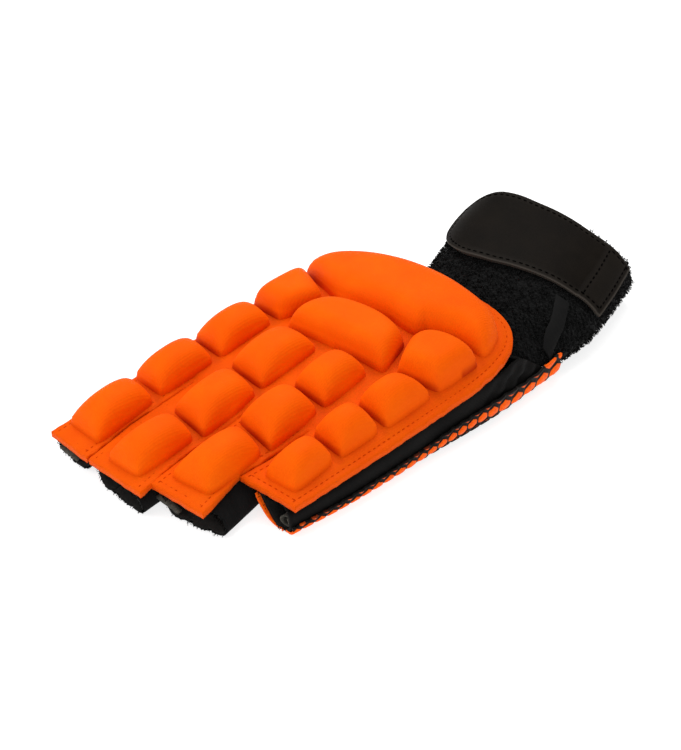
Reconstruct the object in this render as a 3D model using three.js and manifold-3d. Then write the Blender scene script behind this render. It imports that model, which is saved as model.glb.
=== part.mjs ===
// A left-hand field hockey glove lying palm down: a moulded foam back with raised pads, half-finger sleeves,
// a gripping palm cloth and a terry wrist cuff closed by a strap.
// Millimetres, +Z up. The fingers point along -Y, the little finger is on +X and the thumb on -X.
import * as THREE from "three";
import { mergeVertices } from "three/addons/utils/BufferGeometryUtils.js";
import Module from "manifold-3d";

const wasm = await Module();
wasm.setup();

// Driving sizes
const FOAM = 3.6; // moulded sheet between the pads
const PAD_RISE = 10.2; // crown of a pad above the sheet
const PAD_SHOULDER = 7; // how far in from its outline a pad still climbs
const PAD_GROOVE = 3.4; // between the big rear pad and its neighbours
const SLIT = 0.9; // cut between two fingers of the back
const GAP = 0.3; // clearance between neighbouring pieces
const PALM_CLOTH = 1;
const SLEEVE_CLOTH = 1;
const GUSSET_CLOTH = 1.2;
const TERRY = 3.2; // looped cloth of the cuff
const STRAP_THICK = 2;
const STRAP_WIDTH = 43;
const STRAP_CORNER = 16; // rounding of its free end
const TAPE_THICK = 1.2;
const TAPE_WIDTH = 7;
const HOOK_THICK = 1.2;
const GRID = 6; // spacing of the sheet's facets

const ORANGE = "#ff5f0a";
const BLACK_CLOTH = "#151515";
const TERRY_BLACK = "#0d0d0d";
const STRAP_BLACK = "#211e1b";

// Height of the back panel's underside along the hand: at its middle line and at its two long edges
const ARCH = [
  { y: -110, middle: 9.0, little: 9.0, index: 7.4 },
  { y: -104, middle: 9.2, little: 9.2, index: 7.6 },
  { y: -62, middle: 14.2, little: 12.0, index: 13.0 },
  { y: -20, middle: 22.0, little: 14.8, index: 18.0 },
  { y: 20, middle: 28.0, little: 18.0, index: 22.0 },
  { y: 50, middle: 30.5, little: 21.5, index: 23.5 },
  { y: 72, middle: 31.2, little: 23.5, index: 23.5 },
];
const ARCH_LEFT = -50;
const ARCH_RIGHT = 48;

// The back panel's outline: its four finger ends, then the slits between them from their bend to their root
const FINGER_ENDS = [
  { name: "index", left: [-50.6, -104.5], right: [-27.2, -103.8], bend: [-30.5, -80], root: [-31, -50] },
  { name: "middle", left: [-26.3, -103.4], right: [3.2, -100.3], bend: [-0.4, -80], root: [-1.5, -48] },
  { name: "ring", left: [1.6, -94.4], right: [28.2, -90], bend: [23.6, -55], root: [23.5, -36] },
  { name: "little", left: [22.8, -68.4], right: [48.7, -63.1] },
];

// Pads: corners of each outline where it meets the sheet, anticlockwise seen from above
const PADS = [
  { name: "index 1", corners: [[-48.6, -97.3], [-29.8, -96.5], [-33.2, -70.8], [-50, -71.5]] },
  { name: "index 2", corners: [[-51, -64.3], [-33.8, -64.1], [-33.1, -41], [-51.3, -40]] },
  { name: "index 3", corners: [[-51.6, -34], [-32.7, -34.7], [-33.5, -10.5], [-51.6, -9.5]] },
  { name: "index 4", corners: [[-51.6, -4], [-32.7, -4.8], [-24.8, 11.5], [-50, 20.5]] },
  { name: "middle 1", corners: [[-20.3, -99], [-2.8, -96.5], [-4.4, -71], [-20.5, -71.3]] },
  { name: "middle 2", corners: [[-23, -65.9], [-2.5, -66.5], [-4.6, -43], [-23.5, -42.8]] },
  { name: "middle 3", corners: [[-25.7, -35.5], [-5.2, -35.7], [-6, -10.5], [-26, -11]] },
  { name: "ring 1", corners: [[5, -87.7], [23, -83.2], [20.5, -58.5], [4, -59.5]] },
  { name: "ring 2", corners: [[1.2, -52.4], [21.6, -53.3], [20, -31], [1.5, -32]] },
  { name: "ring 3", corners: [[2.5, -26.5], [20.3, -25.2], [18.4, -3.5], [2.5, -6]] },
  { name: "little 1", corners: [[29.3, -62.6], [44, -59], [41.8, -40.3], [28, -42.5]] },
  { name: "little 2", corners: [[26.8, -37], [42.2, -35.5], [41.8, -17], [27, -20]] },
  { name: "little 3", corners: [[27.1, -15], [42.2, -13], [41.6, 9], [27, 3.4]] },
  { name: "little 4", corners: [[25.5, 6.5], [41.6, 14.2], [41.4, 36.2], [28.5, 33.2], [20.6, 27.5], [18.6, 20.5]] },
  { name: "centre", corners: [[-26.5, -6.5], [-3, -3], [22.5, 2.5], [17, 19.3], [3, 20.6], [-21, 13.8], [-26.8, 4.5]] },
  {
    name: "rear",
    corners: [[-52.4, 25], [-22, 17.5], [41, 30], [40.6, 43], [36.5, 52], [28, 56.5], [-5, 54.4], [-35, 46], [-50, 35]],
    clearOf: ["little 4", "centre"],
  },
];

// The little-finger side of the hand, from the finger's end to the heel: where its wall stands widest,
// which way it crosses the hand, and how high the palm cloth folds up it
const SIDE = [
  { y: -64.5, x: 49.2, turn: 0, fold: 4.5 },
  { y: -41, x: 50.4, turn: 0, fold: 5.5 },
  { y: -16, x: 50.2, turn: 2, fold: 6.5 },
  { y: 8, x: 49.4, turn: 5, fold: 7.5 },
  { y: 30, x: 49.4, turn: 9, fold: 8.5 },
  { y: 48, x: 48.8, turn: 13, fold: 9.5 },
  { y: 64, x: 47.2, turn: 16, fold: 10.5 },
  { y: 80, x: 45.6, turn: 18, fold: 13 },
];
// Finger sleeves: edges at the cut end, half way and at the root, and how far their palm side is shifted over
const SLEEVES = [
  { name: "index", row: "end", left: [-50, -102.8], right: [-27.8, -102.4], leanLeft: 0, leanRight: 3, low: 0 },
  { name: "index", row: "middle", left: [-50, -72], right: [-31.4, -72], leanLeft: 0, leanRight: 2, low: 0 },
  { name: "index", row: "root", left: [-50.2, -41.6], right: [-32, -41.6], leanLeft: 0, leanRight: 0, low: 0 },
  { name: "middle", row: "end", left: [-25.9, -102.2], right: [2.4, -98.8], leanLeft: 5.4, leanRight: 5.2, low: 0 },
  { name: "middle", row: "middle", left: [-29.6, -72], right: [-1, -72], leanLeft: 2.6, leanRight: 4, low: 0 },
  { name: "middle", row: "root", left: [-31, -41.6], right: [-2.2, -41.6], leanLeft: 0, leanRight: 0, low: 0 },
  { name: "ring", row: "end", left: [3.4, -93], right: [27, -86.6], leanLeft: 6, leanRight: 6, low: 0 },
  { name: "ring", row: "middle", left: [0, -67], right: [23.6, -67], leanLeft: 4, leanRight: 8, low: 0 },
  { name: "ring", row: "root", left: [-1.2, -41.6], right: [22.8, -41.6], leanLeft: 0, leanRight: 0, low: 0 },
  { name: "little", row: "end", left: [26, -66.6], right: [45, -63.6], leanLeft: 8, leanRight: 0, low: 0 },
  { name: "little", row: "middle", left: [25, -53], right: [45.8, -53], leanLeft: 4, leanRight: 0, low: 0 },
  { name: "little", row: "root", left: [23.8, -41.6], right: [46.4, -41.6], leanLeft: 0, leanRight: 0, low: 0 },
];
// The palm cloth lying flat: outline with its finger strips
const PALM = [
  [-50, -103], [-26.4, -103], [-31.4, -54], [-31, -50], [-30.4, -54], [-21, -102.6],
  [2, -99.6], [7.4, -94.6], [-0.6, -52], [0, -48], [0.6, -52], [8.6, -91],
  [15, -87.4], [33, -83.4], [33.6, -70], [23.6, -48], [24, -44], [24.6, -48],
  [36, -67], [40.4, -65],
];
const PALM_REST = [[-22, 58.4], [-21, 47.4], [-50, 4.6], [-50, -50]];

// The thumb's short sleeve fans out of the hand between the index finger and the cuff
const THUMB = [
  { left: [-21.6, 47.8], right: [-50.6, 5], high: 17 },
  { left: [-36, 40.4], right: [-52.4, 4.4], high: 15 },
  { left: [-53, 31], right: [-54, 3.6], high: 13 },
  { left: [-65, 23], right: [-55, 2.6], high: 11 },
];
// The cuff, from under the back panel to its rim
const CUFF = [
  { left: [-17, 40], right: [45.2, 58], high: 24 },
  { left: [-24, 58.5], right: [44, 80], high: 26.5 },
  { left: [-33, 77.5], right: [42.6, 101], high: 28.2 },
  { left: [-42, 98], right: [35.6, 123], high: 30.4 },
  { left: [-49.5, 119], right: [28, 143], high: 32.4 },
];
// Its front end leans forward from the heel of the palm to a line under the back panel
const HEEL = [[-22, 60.2, 0], [44, 82.2, 0], [44, 52.2, 25]];

// Places on the cuff are told by the section they stand at (0 to 4) and a place round it: 2 is the foot of the
// little-finger side, 6 its widest point, 10 to 13 the top and 17 the thumb side's widest point
const CUFF_STEPS = { across: 3, round: 8, cap: 16, crownLeft: 24, crownRight: 48, waist: 0.34, square: 2.1, low: 0 };
const STRAP_FREE = 15.2;
const STRAP_ROOT = 6.7;
const STRAP_MIDDLE = { free: 3.05, root: 2.93 };
const TAPE = [
  { section: 1.88, place: 7.85 },
  { section: 1.7, place: 7.65 },
  { section: 1.5, place: 7.4 },
  { section: 1.25, place: 7.15 },
  { section: 1.0, place: 7.0 },
];

const mat = (color, roughness) => new THREE.MeshStandardMaterial({ color, roughness, metalness: 0 });

// A cubic through the rows' values of one column, with level slopes at its ends
function along(rows, column, y) {
  let i = 0;
  while (i < rows.length - 2 && y > rows[i + 1].y) i++;
  const slope = (k) => {
    const from = rows[Math.max(k - 1, 0)];
    const to = rows[Math.min(k + 1, rows.length - 1)];
    return (to[column] - from[column]) / (to.y - from.y);
  };
  const [p, q] = [rows[i], rows[i + 1]];
  const span = q.y - p.y;
  const t = THREE.MathUtils.clamp((y - p.y) / span, 0, 1);
  const bend = t * t * (3 - 2 * t) * (q[column] - p[column]);
  const ease = span * (t * (1 - t) ** 2 * slope(i) - t * t * (1 - t) * slope(i + 1));
  return p[column] + bend + ease;
}

// Underside of the back panel over a point of the plan
function underside(x, y) {
  const across = (2 * x - ARCH_LEFT - ARCH_RIGHT) / (ARCH_RIGHT - ARCH_LEFT);
  const middle = along(ARCH, "middle", y);
  const edge = along(ARCH, across > 0 ? "little" : "index", y);
  return middle + (edge - middle) * across * across;
}

function solidFrom(geometry) {
  const bare = geometry.clone();
  bare.deleteAttribute("normal");
  bare.deleteAttribute("uv");
  const merged = mergeVertices(bare, 1e-4);
  return new wasm.Manifold(
    new wasm.Mesh({
      numProp: 3,
      vertProperties: merged.attributes.position.array,
      triVerts: new Uint32Array(merged.index.array),
    }),
  );
}

function geometryFrom(solid) {
  const mesh = solid.getMesh();
  const geometry = new THREE.BufferGeometry();
  geometry.setAttribute("position", new THREE.BufferAttribute(mesh.vertProperties, 3));
  geometry.setIndex(new THREE.BufferAttribute(mesh.triVerts, 1));
  geometry.computeVertexNormals();
  return geometry;
}

const unite = (solids) => solids.reduce((sum, solid) => sum.add(solid));

// A solid through loops of equally many points: its ends are capped, or joined to each other
function loft(loops, joined = false) {
  const count = loops[0].length;
  const position = loops.flat(2);
  const index = [];
  const rows = joined ? loops.length : loops.length - 1;
  for (let i = 0; i < rows; i++) {
    const here = i * count;
    const next = ((i + 1) % loops.length) * count;
    for (let k = 0; k < count; k++) {
      const m = (k + 1) % count;
      index.push(here + k, here + m, next + m, here + k, next + m, next + k);
    }
  }
  if (!joined) {
    const centre = (loop) => [0, 1, 2].map((c) => loop.reduce((sum, p) => sum + p[c], 0) / count);
    const first = position.push(...centre(loops[0])) / 3 - 1;
    const last = position.push(...centre(loops[loops.length - 1])) / 3 - 1;
    const end = (loops.length - 1) * count;
    for (let k = 0; k < count; k++) {
      const m = (k + 1) % count;
      index.push(first, m, k, last, end + k, end + m);
    }
  }
  const geometry = new THREE.BufferGeometry();
  geometry.setAttribute("position", new THREE.Float32BufferAttribute(position, 3));
  geometry.setIndex(index);
  const solid = solidFrom(geometry);
  if (solid.volume() >= 0) return solid;
  const turned = [];
  for (let i = 0; i < index.length; i += 3) turned.push(index[i + 2], index[i + 1], index[i]);
  geometry.setIndex(turned);
  return solidFrom(geometry);
}

// A long thin solid whose two broad faces are strips of quads, closed along both edges and at both ends
const strip = (lower, upper) => loft(lower.map((row, i) => [...row, ...upper[i].toReversed()]));

// How far inside a pad's outline a point lies, with the corners eased; negative outside
function insideOf(corners, x, y) {
  const sharpness = 6;
  let sum = 0;
  let worst = Infinity;
  corners.forEach(([x0, y0], i) => {
    const [x1, y1] = corners[(i + 1) % corners.length];
    const d = ((x1 - x0) * (y - y0) - (y1 - y0) * (x - x0)) / Math.hypot(x1 - x0, y1 - y0);
    worst = Math.min(worst, d);
    sum += Math.max(d, 1e-3) ** -sharpness;
  });
  return worst > 0 ? sum ** (-1 / sharpness) : worst;
}
function padDepth(pad, x, y) {
  const neighbours = (pad.clearOf ?? []).map((name) => PADS.find((p) => p.name === name));
  const clear = neighbours.map((p) => -insideOf(p.corners, x, y) - PAD_GROOVE);
  return Math.min(insideOf(pad.corners, x, y), ...clear);
}
const padRise = (depth) => PAD_RISE * (1 - (1 - Math.min(depth / PAD_SHOULDER, 1)) ** 2.4) ** 0.55;

// One pad: rings at growing depth inside its outline, found along rays from its middle, and a crown
function padSolid(pad) {
  const large = pad.corners.length > 5;
  const sides = large ? 28 : 16;
  const mid = [0, 1].map((c) => pad.corners.reduce((sum, p) => sum + p[c], 0) / pad.corners.length);
  const at = (x, y, lift) => [x, y, underside(x, y) + FOAM + lift];
  const angles = Array.from({ length: sides }, (_, k) => (2 * Math.PI * (k + 0.5)) / sides);
  const reach = (angle, depth) => {
    let near = 0;
    let far = 60;
    for (let i = 0; i < 26; i++) {
      const r = (near + far) / 2;
      if (padDepth(pad, mid[0] + r * Math.cos(angle), mid[1] + r * Math.sin(angle)) > depth) near = r;
      else far = r;
    }
    return near;
  };
  const ring = (depth, lift, scale = 1) =>
    angles.map((angle) => {
      const r = scale * reach(angle, depth);
      return at(mid[0] + r * Math.cos(angle), mid[1] + r * Math.sin(angle), lift);
    });
  const crown = large ? [0.62, 0.25] : [0.4];
  return loft([
    ring(0, -1.2),
    ring(0, 0.4),
    ...[0.5, 1.8, 4.2].map((depth) => ring(depth, padRise(depth))),
    ...crown.map((scale) => ring(4.2, PAD_RISE, scale)),
  ]);
}

// The sheet's outline in plan, with its slits
function panelShape() {
  const shape = new THREE.Shape();
  FINGER_ENDS.forEach((end, i) => {
    if (i === 0) shape.moveTo(...end.left);
    else shape.lineTo(...end.left);
    shape.lineTo(...end.right);
    if (!end.bend) return;
    const next = FINGER_ENDS[i + 1].left;
    if (next[1] > end.right[1] + 3) shape.lineTo(next[0] - SLIT, next[1]);
    shape.lineTo(end.bend[0] - SLIT / 2, end.bend[1]);
    shape.lineTo(...end.root);
    shape.lineTo(end.bend[0] + SLIT / 2, end.bend[1]);
  });
  shape.lineTo(48.1, -20);
  shape.lineTo(47.4, 26);
  shape.bezierCurveTo(46.4, 50, 42, 62.4, 24, 61.8);
  shape.lineTo(-4, 58.8);
  shape.quadraticCurveTo(-22, 55, -35, 49);
  shape.quadraticCurveTo(-51.6, 41, -53, 24);
  shape.lineTo(-53.2, -20);
  shape.closePath();
  return shape;
}

// The sheet: an arched slab on a square grid, trimmed to the outline
function sheetSolid() {
  const columns = Math.round(112 / GRID);
  const rows = Math.round(180 / GRID);
  const row = (j, lift) =>
    Array.from({ length: columns + 1 }, (_, i) => {
      const [x, y] = [-56 + i * GRID, -108 + j * GRID];
      return [x, y, underside(x, y) + lift];
    });
  const count = Array.from({ length: rows + 1 }, (_, j) => j);
  const slab = strip(count.map((j) => row(j, 0)), count.map((j) => row(j, FOAM)));
  const trim = new THREE.ExtrudeGeometry(panelShape(), { depth: 60, bevelEnabled: false, curveSegments: 8 });
  return slab.intersect(solidFrom(trim));
}

const ease = (v, square) => Math.sign(v) * Math.abs(v) ** (2 / square);

// Cross-sections are flat above and below and rounded at both sides over the width of a cap.
// The top follows the underside of the back panel where no height is given.
function sectionFrame(section, form) {
  const [lx, ly] = section.left;
  const [rx, ry] = section.right;
  const half = Math.hypot(rx - lx, ry - ly) / 2;
  const cap = Math.min(form.cap, half);
  const crown = { [-1]: form.crownLeft ?? cap, [1]: form.crownRight ?? cap };
  const at = (u, level, inset) => {
    const s = (u / half + 1) / 2;
    const [x, y] = [lx + (rx - lx) * s, ly + (ry - ly) * s];
    const low = form.low + (section.low ?? 0);
    const roof = section.high ?? underside(x, y) - GAP;
    const waist = low + (roof - low) * (form.waist ?? 0.5);
    const z = waist + level * (level > 0 ? roof - waist - inset : waist - low - inset);
    const lean = (section.leanLeft ?? 0) * (1 - s) + (section.leanRight ?? 0) * s;
    return [x + (lean * (roof - z)) / (roof - low), y, z];
  };
  return { half, cap, crown, at };
}
// A point of the rounded side: -90 degrees is its foot, 0 its widest place and 90 its top
function sidePoint(section, side, angle, inset, form) {
  const { half, cap, crown, at } = sectionFrame(section, form);
  const a = THREE.MathUtils.degToRad(angle);
  const reach = a > 0 ? crown[side] : cap;
  const u = side * (half - reach + (reach - inset) * ease(Math.max(Math.cos(a), 0), form.square));
  return at(u, ease(Math.sin(a), form.square), inset);
}
function ringOf(section, inset, form) {
  const { half, cap, crown, at } = sectionFrame(section, form);
  const flat = (level) => {
    const [from, to] = level > 0 ? [half - crown[1], crown[-1] - half] : [cap - half, half - cap];
    return Array.from({ length: form.across - 1 }, (_, i) => at(from + ((to - from) * (i + 1)) / form.across, level, inset));
  };
  const side = (sign) =>
    Array.from({ length: form.round + 1 }, (_, i) =>
      sidePoint(section, sign, sign * (-90 + (180 * i) / form.round), inset, form),
    );
  return [...flat(-1), ...side(1), ...flat(1), ...side(-1)];
}
const tube = (sections, thick, form, inset = 0) =>
  loft([...sections.map((s) => ringOf(s, inset, form)), ...sections.map((s) => ringOf(s, inset + thick, form)).reverse()], true);

// Part of a rounded side as a wall: every section is followed between two heights
function sideWall(sections, side, heights, inset, thick, form, steps = 6) {
  const rows = (depth) =>
    sections.map((section, k) => {
      const [from, to] = heights(section, k).map((height) => {
        let [below, above] = [-90, 78];
        for (let i = 0; i < 24; i++) {
          const angle = (below + above) / 2;
          if (sidePoint(section, side, angle, inset, form)[2] < height) below = angle;
          else above = angle;
        }
        return below;
      });
      return Array.from({ length: steps + 1 }, (_, i) =>
        sidePoint(section, side, from + ((to - from) * i) / steps, depth, form),
      );
    });
  return strip(rows(inset + thick), rows(inset));
}

const HAND_FORM = { cap: 5, square: 2.6, low: 0 };
const sideSections = SIDE.map(({ y, x, turn, fold }) => {
  const a = THREE.MathUtils.degToRad(turn);
  return { left: [x - 30 * Math.cos(a), y - 30 * Math.sin(a)], right: [x, y], fold };
});
const heelPlane = new THREE.Plane().setFromCoplanarPoints(...HEEL.map((p) => new THREE.Vector3(...p)));
if (heelPlane.normal.y < 0) heelPlane.negate();
const behindHeel = (solid, gap) => solid.trimByPlane(heelPlane.normal.toArray(), gap - heelPlane.constant);
const beforeHeel = (solid, gap) => solid.trimByPlane(heelPlane.normal.clone().negate().toArray(), gap + heelPlane.constant);

function palmPanel() {
  const edge = sideSections.map((s) => sidePoint(s, 1, -90, 0, HAND_FORM)).map(([x, y]) => [x + 0.6, y]);
  const outline = [...PALM, ...edge, ...PALM_REST];
  const flat = new THREE.ExtrudeGeometry(new THREE.Shape(outline.map((p) => new THREE.Vector2(...p))), {
    depth: PALM_CLOTH,
    bevelEnabled: false,
  });
  const fold = sideWall(sideSections, 1, (s) => [0, s.fold], 0, PALM_CLOTH, HAND_FORM);
  return solidFrom(flat).add(fold);
}

// The smooth stretch cloth between the folded-up palm and the back panel
function outerGusset() {
  const inset = PALM_CLOTH + GAP;
  return beforeHeel(sideWall(sideSections, 1, (s) => [s.fold - 4, 40], inset, GUSSET_CLOTH, HAND_FORM), GAP);
}
function thumbGusset() {
  const sections = [-41, -19, 2.6].map((y) => ({ left: [-50.4, y], right: [-20, y] }));
  const form = { ...HAND_FORM, low: PALM_CLOTH + GAP };
  return sideWall(sections, -1, () => [0, 40], 0, GUSSET_CLOTH, form, 8);
}

const fingerForm = { across: 3, round: 6, cap: 8, square: 2.7, low: PALM_CLOTH + GAP };
const sleeve = (name) => tube(SLEEVES.filter((s) => s.name === name), SLEEVE_CLOTH, fingerForm);
const thumbSleeve = () => tube(THUMB, SLEEVE_CLOTH, { ...fingerForm, cap: 7, low: 0 });

const wristCuff = () => behindHeel(tube(CUFF, TERRY, CUFF_STEPS), 0);

// A place on the cuff, lifted off it
function onCuff(section, place, lift) {
  const i = Math.min(Math.floor(section), CUFF.length - 2);
  const rings = [CUFF[i], CUFF[i + 1]].map((s) => ringOf(s, -lift, CUFF_STEPS));
  const k = Math.floor(place);
  const [p, q] = rings.map((ring) => new THREE.Vector3(...ring[k]).lerp(new THREE.Vector3(...ring[k + 1]), place - k));
  return p.lerp(q, section - i).toArray();
}
const span = (p, q) => Math.hypot(...p.map((v, c) => v - q[c]));

// The strap follows the cuff from its rounded free end to its sewn root
function wristStrap() {
  const places = [0, 0.04, 0.12, 0.26, 0.45, 0.8].map((d) => STRAP_FREE - d);
  for (let k = Math.ceil(STRAP_FREE - 1.2); k > STRAP_ROOT; k--) places.push(k);
  places.push(STRAP_ROOT);
  let run = 0;
  const rows = places.map((place, i) => {
    const lift = THREE.MathUtils.lerp(2.3, 0.6, THREE.MathUtils.smoothstep(STRAP_FREE - place, 2, 5));
    const middle = THREE.MathUtils.mapLinear(place, STRAP_FREE, STRAP_ROOT, STRAP_MIDDLE.free, STRAP_MIDDLE.root);
    if (i) run += span(onCuff(middle, place, lift), onCuff(middle, places[i - 1], lift));
    const cut = Math.max(STRAP_CORNER - run, 0);
    const half = STRAP_WIDTH / 2 - STRAP_CORNER + Math.sqrt(STRAP_CORNER ** 2 - cut ** 2);
    const scale = half / span(onCuff(middle - 0.5, place, lift), onCuff(middle + 0.5, place, lift));
    return (up) => [-1, -0.5, 0, 0.5, 1].map((v) => onCuff(middle + v * scale, place, lift + up));
  });
  return strip(rows.map((row) => row(0)), rows.map((row) => row(STRAP_THICK)));
}

// Hook fastener under the free end
function hookPatch() {
  const rows = [14.8, 14, 13, 12.4].map((place) => (lift) => [2.5, 3, 3.7].map((s) => onCuff(s, place, lift)));
  return strip(rows.map((row) => row(0.6)), rows.map((row) => row(0.6 + HOOK_THICK)));
}

function cuffSideTape() {
  const lift = 0.7;
  const rows = TAPE.map(({ section, place }) => (up) => {
    const half = TAPE_WIDTH / 2 / span(onCuff(section, place - 0.5, lift), onCuff(section, place + 0.5, lift));
    return [-1, -0.5, 0, 0.5, 1].map((v) => onCuff(section, place + v * half, lift + up));
  });
  return strip(rows.map((row) => row(0)), rows.map((row) => row(TAPE_THICK)));
}

const PIECES = [
  ["back_panel", () => unite([sheetSolid(), ...PADS.map(padSolid)]), mat(ORANGE, 0.75)],
  ["palm_panel", palmPanel, mat(ORANGE, 0.7)],
  ["outer_gusset", outerGusset, mat(BLACK_CLOTH, 0.85)],
  ["thumb_gusset", thumbGusset, mat(BLACK_CLOTH, 0.85)],
  ["index_sleeve", () => sleeve("index"), mat(BLACK_CLOTH, 0.9)],
  ["middle_sleeve", () => sleeve("middle"), mat(BLACK_CLOTH, 0.9)],
  ["ring_sleeve", () => sleeve("ring"), mat(BLACK_CLOTH, 0.9)],
  ["little_sleeve", () => sleeve("little"), mat(BLACK_CLOTH, 0.9)],
  ["thumb_sleeve", thumbSleeve, mat(BLACK_CLOTH, 0.9)],
  ["wrist_cuff", wristCuff, mat(TERRY_BLACK, 1)],
  ["cuff_side_tape", cuffSideTape, mat(BLACK_CLOTH, 0.8)],
  ["wrist_strap", wristStrap, mat(STRAP_BLACK, 0.6)],
  ["hook_patch", hookPatch, mat(BLACK_CLOTH, 0.9)],
];

const part = new THREE.Group();
for (const [name, make, material] of PIECES) {
  const mesh = new THREE.Mesh(geometryFrom(make()), material);
  mesh.name = name;
  part.add(mesh);
}

// The origin stands under the middle of the whole glove's box
const box = new THREE.Box3().setFromObject(part);
const centre = box.getCenter(new THREE.Vector3());
part.children.forEach((mesh) => mesh.geometry.translate(-centre.x, -centre.y, -box.min.z));

export default part;
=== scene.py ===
import math
import random

import bmesh
import bpy
import numpy as np
from mathutils import Matrix, Vector, noise


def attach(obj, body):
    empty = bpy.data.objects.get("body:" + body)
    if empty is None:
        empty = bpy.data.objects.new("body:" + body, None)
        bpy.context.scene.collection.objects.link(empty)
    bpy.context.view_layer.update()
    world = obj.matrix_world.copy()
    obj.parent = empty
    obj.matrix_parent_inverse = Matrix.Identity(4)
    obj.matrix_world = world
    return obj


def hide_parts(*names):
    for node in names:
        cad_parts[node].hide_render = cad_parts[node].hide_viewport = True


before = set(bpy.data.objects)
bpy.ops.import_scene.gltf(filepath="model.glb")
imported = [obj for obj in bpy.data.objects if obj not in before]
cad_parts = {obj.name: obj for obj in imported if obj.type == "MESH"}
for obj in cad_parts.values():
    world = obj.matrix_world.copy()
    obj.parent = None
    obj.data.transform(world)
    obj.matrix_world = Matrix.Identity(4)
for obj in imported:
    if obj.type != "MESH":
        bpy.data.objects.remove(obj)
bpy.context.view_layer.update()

# Camera: the photograph's view, 84 mm lens from 0.7 m
TARGET = Vector((0.0073, -0.01925, 0.015))
AZIMUTH = math.radians(49.5)
ELEVATION = math.radians(38)
DISTANCE = 0.7

# The plan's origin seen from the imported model's origin
PLAN_SHIFT = (7.305, -19.25, 0.0)

FOAM = 3.6  # moulded sheet between the pads
PAD_RISE = 10.8  # crown of a pad above the sheet
PAD_SHOULDER = 9  # how far in from its outline a large pad still climbs
PAD_GROOVE = 3.4  # between the big rear pad and its neighbours
GAP = 0.3  # clearance between neighbouring pieces
PALM_CLOTH = 1.0
SLEEVE_CLOTH = 1.0
GUSSET_CLOTH = 1.2
TERRY = 3.2
STRAP_THICK = 2.0
STRAP_WIDTH = 43
STRAP_CORNER = 17
TAPE_THICK = 1.2
TAPE_WIDTH = 7
HOOK_THICK = 1.2
SEAM_INSET = 2.5  # from the back's edge to its row of stitches

# Height of the back's underside along the hand: y, at its middle line, at its little-finger and index edges
ARCH = np.array([
    (-110, 9.0, 9.0, 7.4),
    (-104, 9.2, 9.2, 7.6),
    (-62, 14.2, 12.0, 13.0),
    (-20, 22.0, 14.8, 18.0),
    (20, 28.0, 18.0, 22.0),
    (50, 30.5, 21.5, 23.5),
    (72, 31.2, 23.5, 23.5),
])
ARCH_LEFT = -50
ARCH_RIGHT = 48

# The back's four fingers: their two edges from the cut end to the root of the slit
FINGERS = [
    {"left": [(-50.6, -104.5), (-52.28, -50)], "right": [(-27.2, -103.8), (-30.95, -80), (-31, -50)]},
    {"left": [(-26.3, -103.4), (-30.05, -80), (-31, -50)],
     "right": [(3.2, -100.3), (-0.85, -80), (-1.5, -48)]},
    {"left": [(1.6, -94.4), (0.05, -80), (-1.5, -48)],
     "right": [(28.2, -90), (21.9, -68.4), (23.15, -55), (23.5, -36)]},
    {"left": [(22.8, -68.4), (24.05, -55), (23.5, -36)], "right": [(48.7, -63.1), (48.33, -36)]},
]

# Pads: corners of each outline where it meets the sheet, anticlockwise seen from above
PADS = {
    "index 1": [(-48.6, -97.3), (-29.8, -96.5), (-33.2, -67.6), (-50, -68.2)],
    "index 2": [(-51, -64.3), (-33.8, -64.1), (-33.1, -38.1), (-51.3, -37.2)],
    "index 3": [(-51.6, -34), (-32.7, -34.7), (-33.5, -8.1), (-51.6, -7.2)],
    "index 4": [(-51.6, -4), (-32.7, -4.8), (-24.8, 13), (-50, 22)],
    "middle 1": [(-20.3, -99), (-2.8, -96.5), (-4.4, -69.5), (-20.5, -69.2)],
    "middle 2": [(-23, -65.9), (-2.5, -66.5), (-4.6, -38.9), (-23.5, -38.7)],
    "middle 3": [(-25.7, -35.5), (-5.2, -35.7), (-6, -7), (-26, -9.6)],
    "ring 1": [(5, -87.7), (23, -83.2), (20.5, -56.3), (4, -55.6)],
    "ring 2": [(1.2, -52.4), (21.6, -53.3), (20, -28.3), (1.5, -29.6)],
    "ring 3": [(2.5, -26.5), (20.3, -25.2), (18.4, -1.8), (2.5, -5)],
    "little 1": [(29.3, -62.6), (44, -59), (41.8, -38.8), (28, -40.1)],
    "little 2": [(26.8, -37), (42.2, -35.5), (41.8, -16.2), (27, -18.2)],
    "little 3": [(27.1, -15), (42.2, -13), (41.6, 11), (27, 3.8)],
    "little 4": [(25.5, 6.5), (41.6, 14.2), (41.4, 36.2), (28.5, 33.2), (20.6, 27.5), (18.6, 20.5)],
    "centre": [(-26.5, -6.5), (-3, -3), (22.5, 2.5), (17, 19.3), (3, 20.6), (-21, 13.8), (-26.8, 4.5)],
    "rear": [(-52.4, 25), (-22, 17.5), (41, 30), (40.6, 43), (36.5, 52), (28, 56.5), (-5, 54.4), (-35, 46),
             (-50, 35)],
}
REAR_CLEAR_OF = ("little 4", "centre")

# The little-finger side of the hand: y, where its wall stands widest, its turn, height of the folded-up palm
SIDE = np.array([
    (-64.5, 49.2, 0, 4.5),
    (-41, 50.4, 0, 5.5),
    (-16, 50.2, 2, 6.5),
    (8, 49.4, 5, 7.5),
    (30, 49.4, 9, 8.5),
    (48, 48.8, 13, 9.5),
    (64, 47.2, 16, 10.5),
    (80, 45.6, 18, 13),
])
HAND_CAP = 5
HAND_SQUARE = 2.6
# Its index side: where the cloth starts, how far it runs, and where it stands widest
THUMB_SIDE_FRONT = -41
THUMB_SIDE_LONG = 43.6
THUMB_SIDE_X = -50.4

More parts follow.
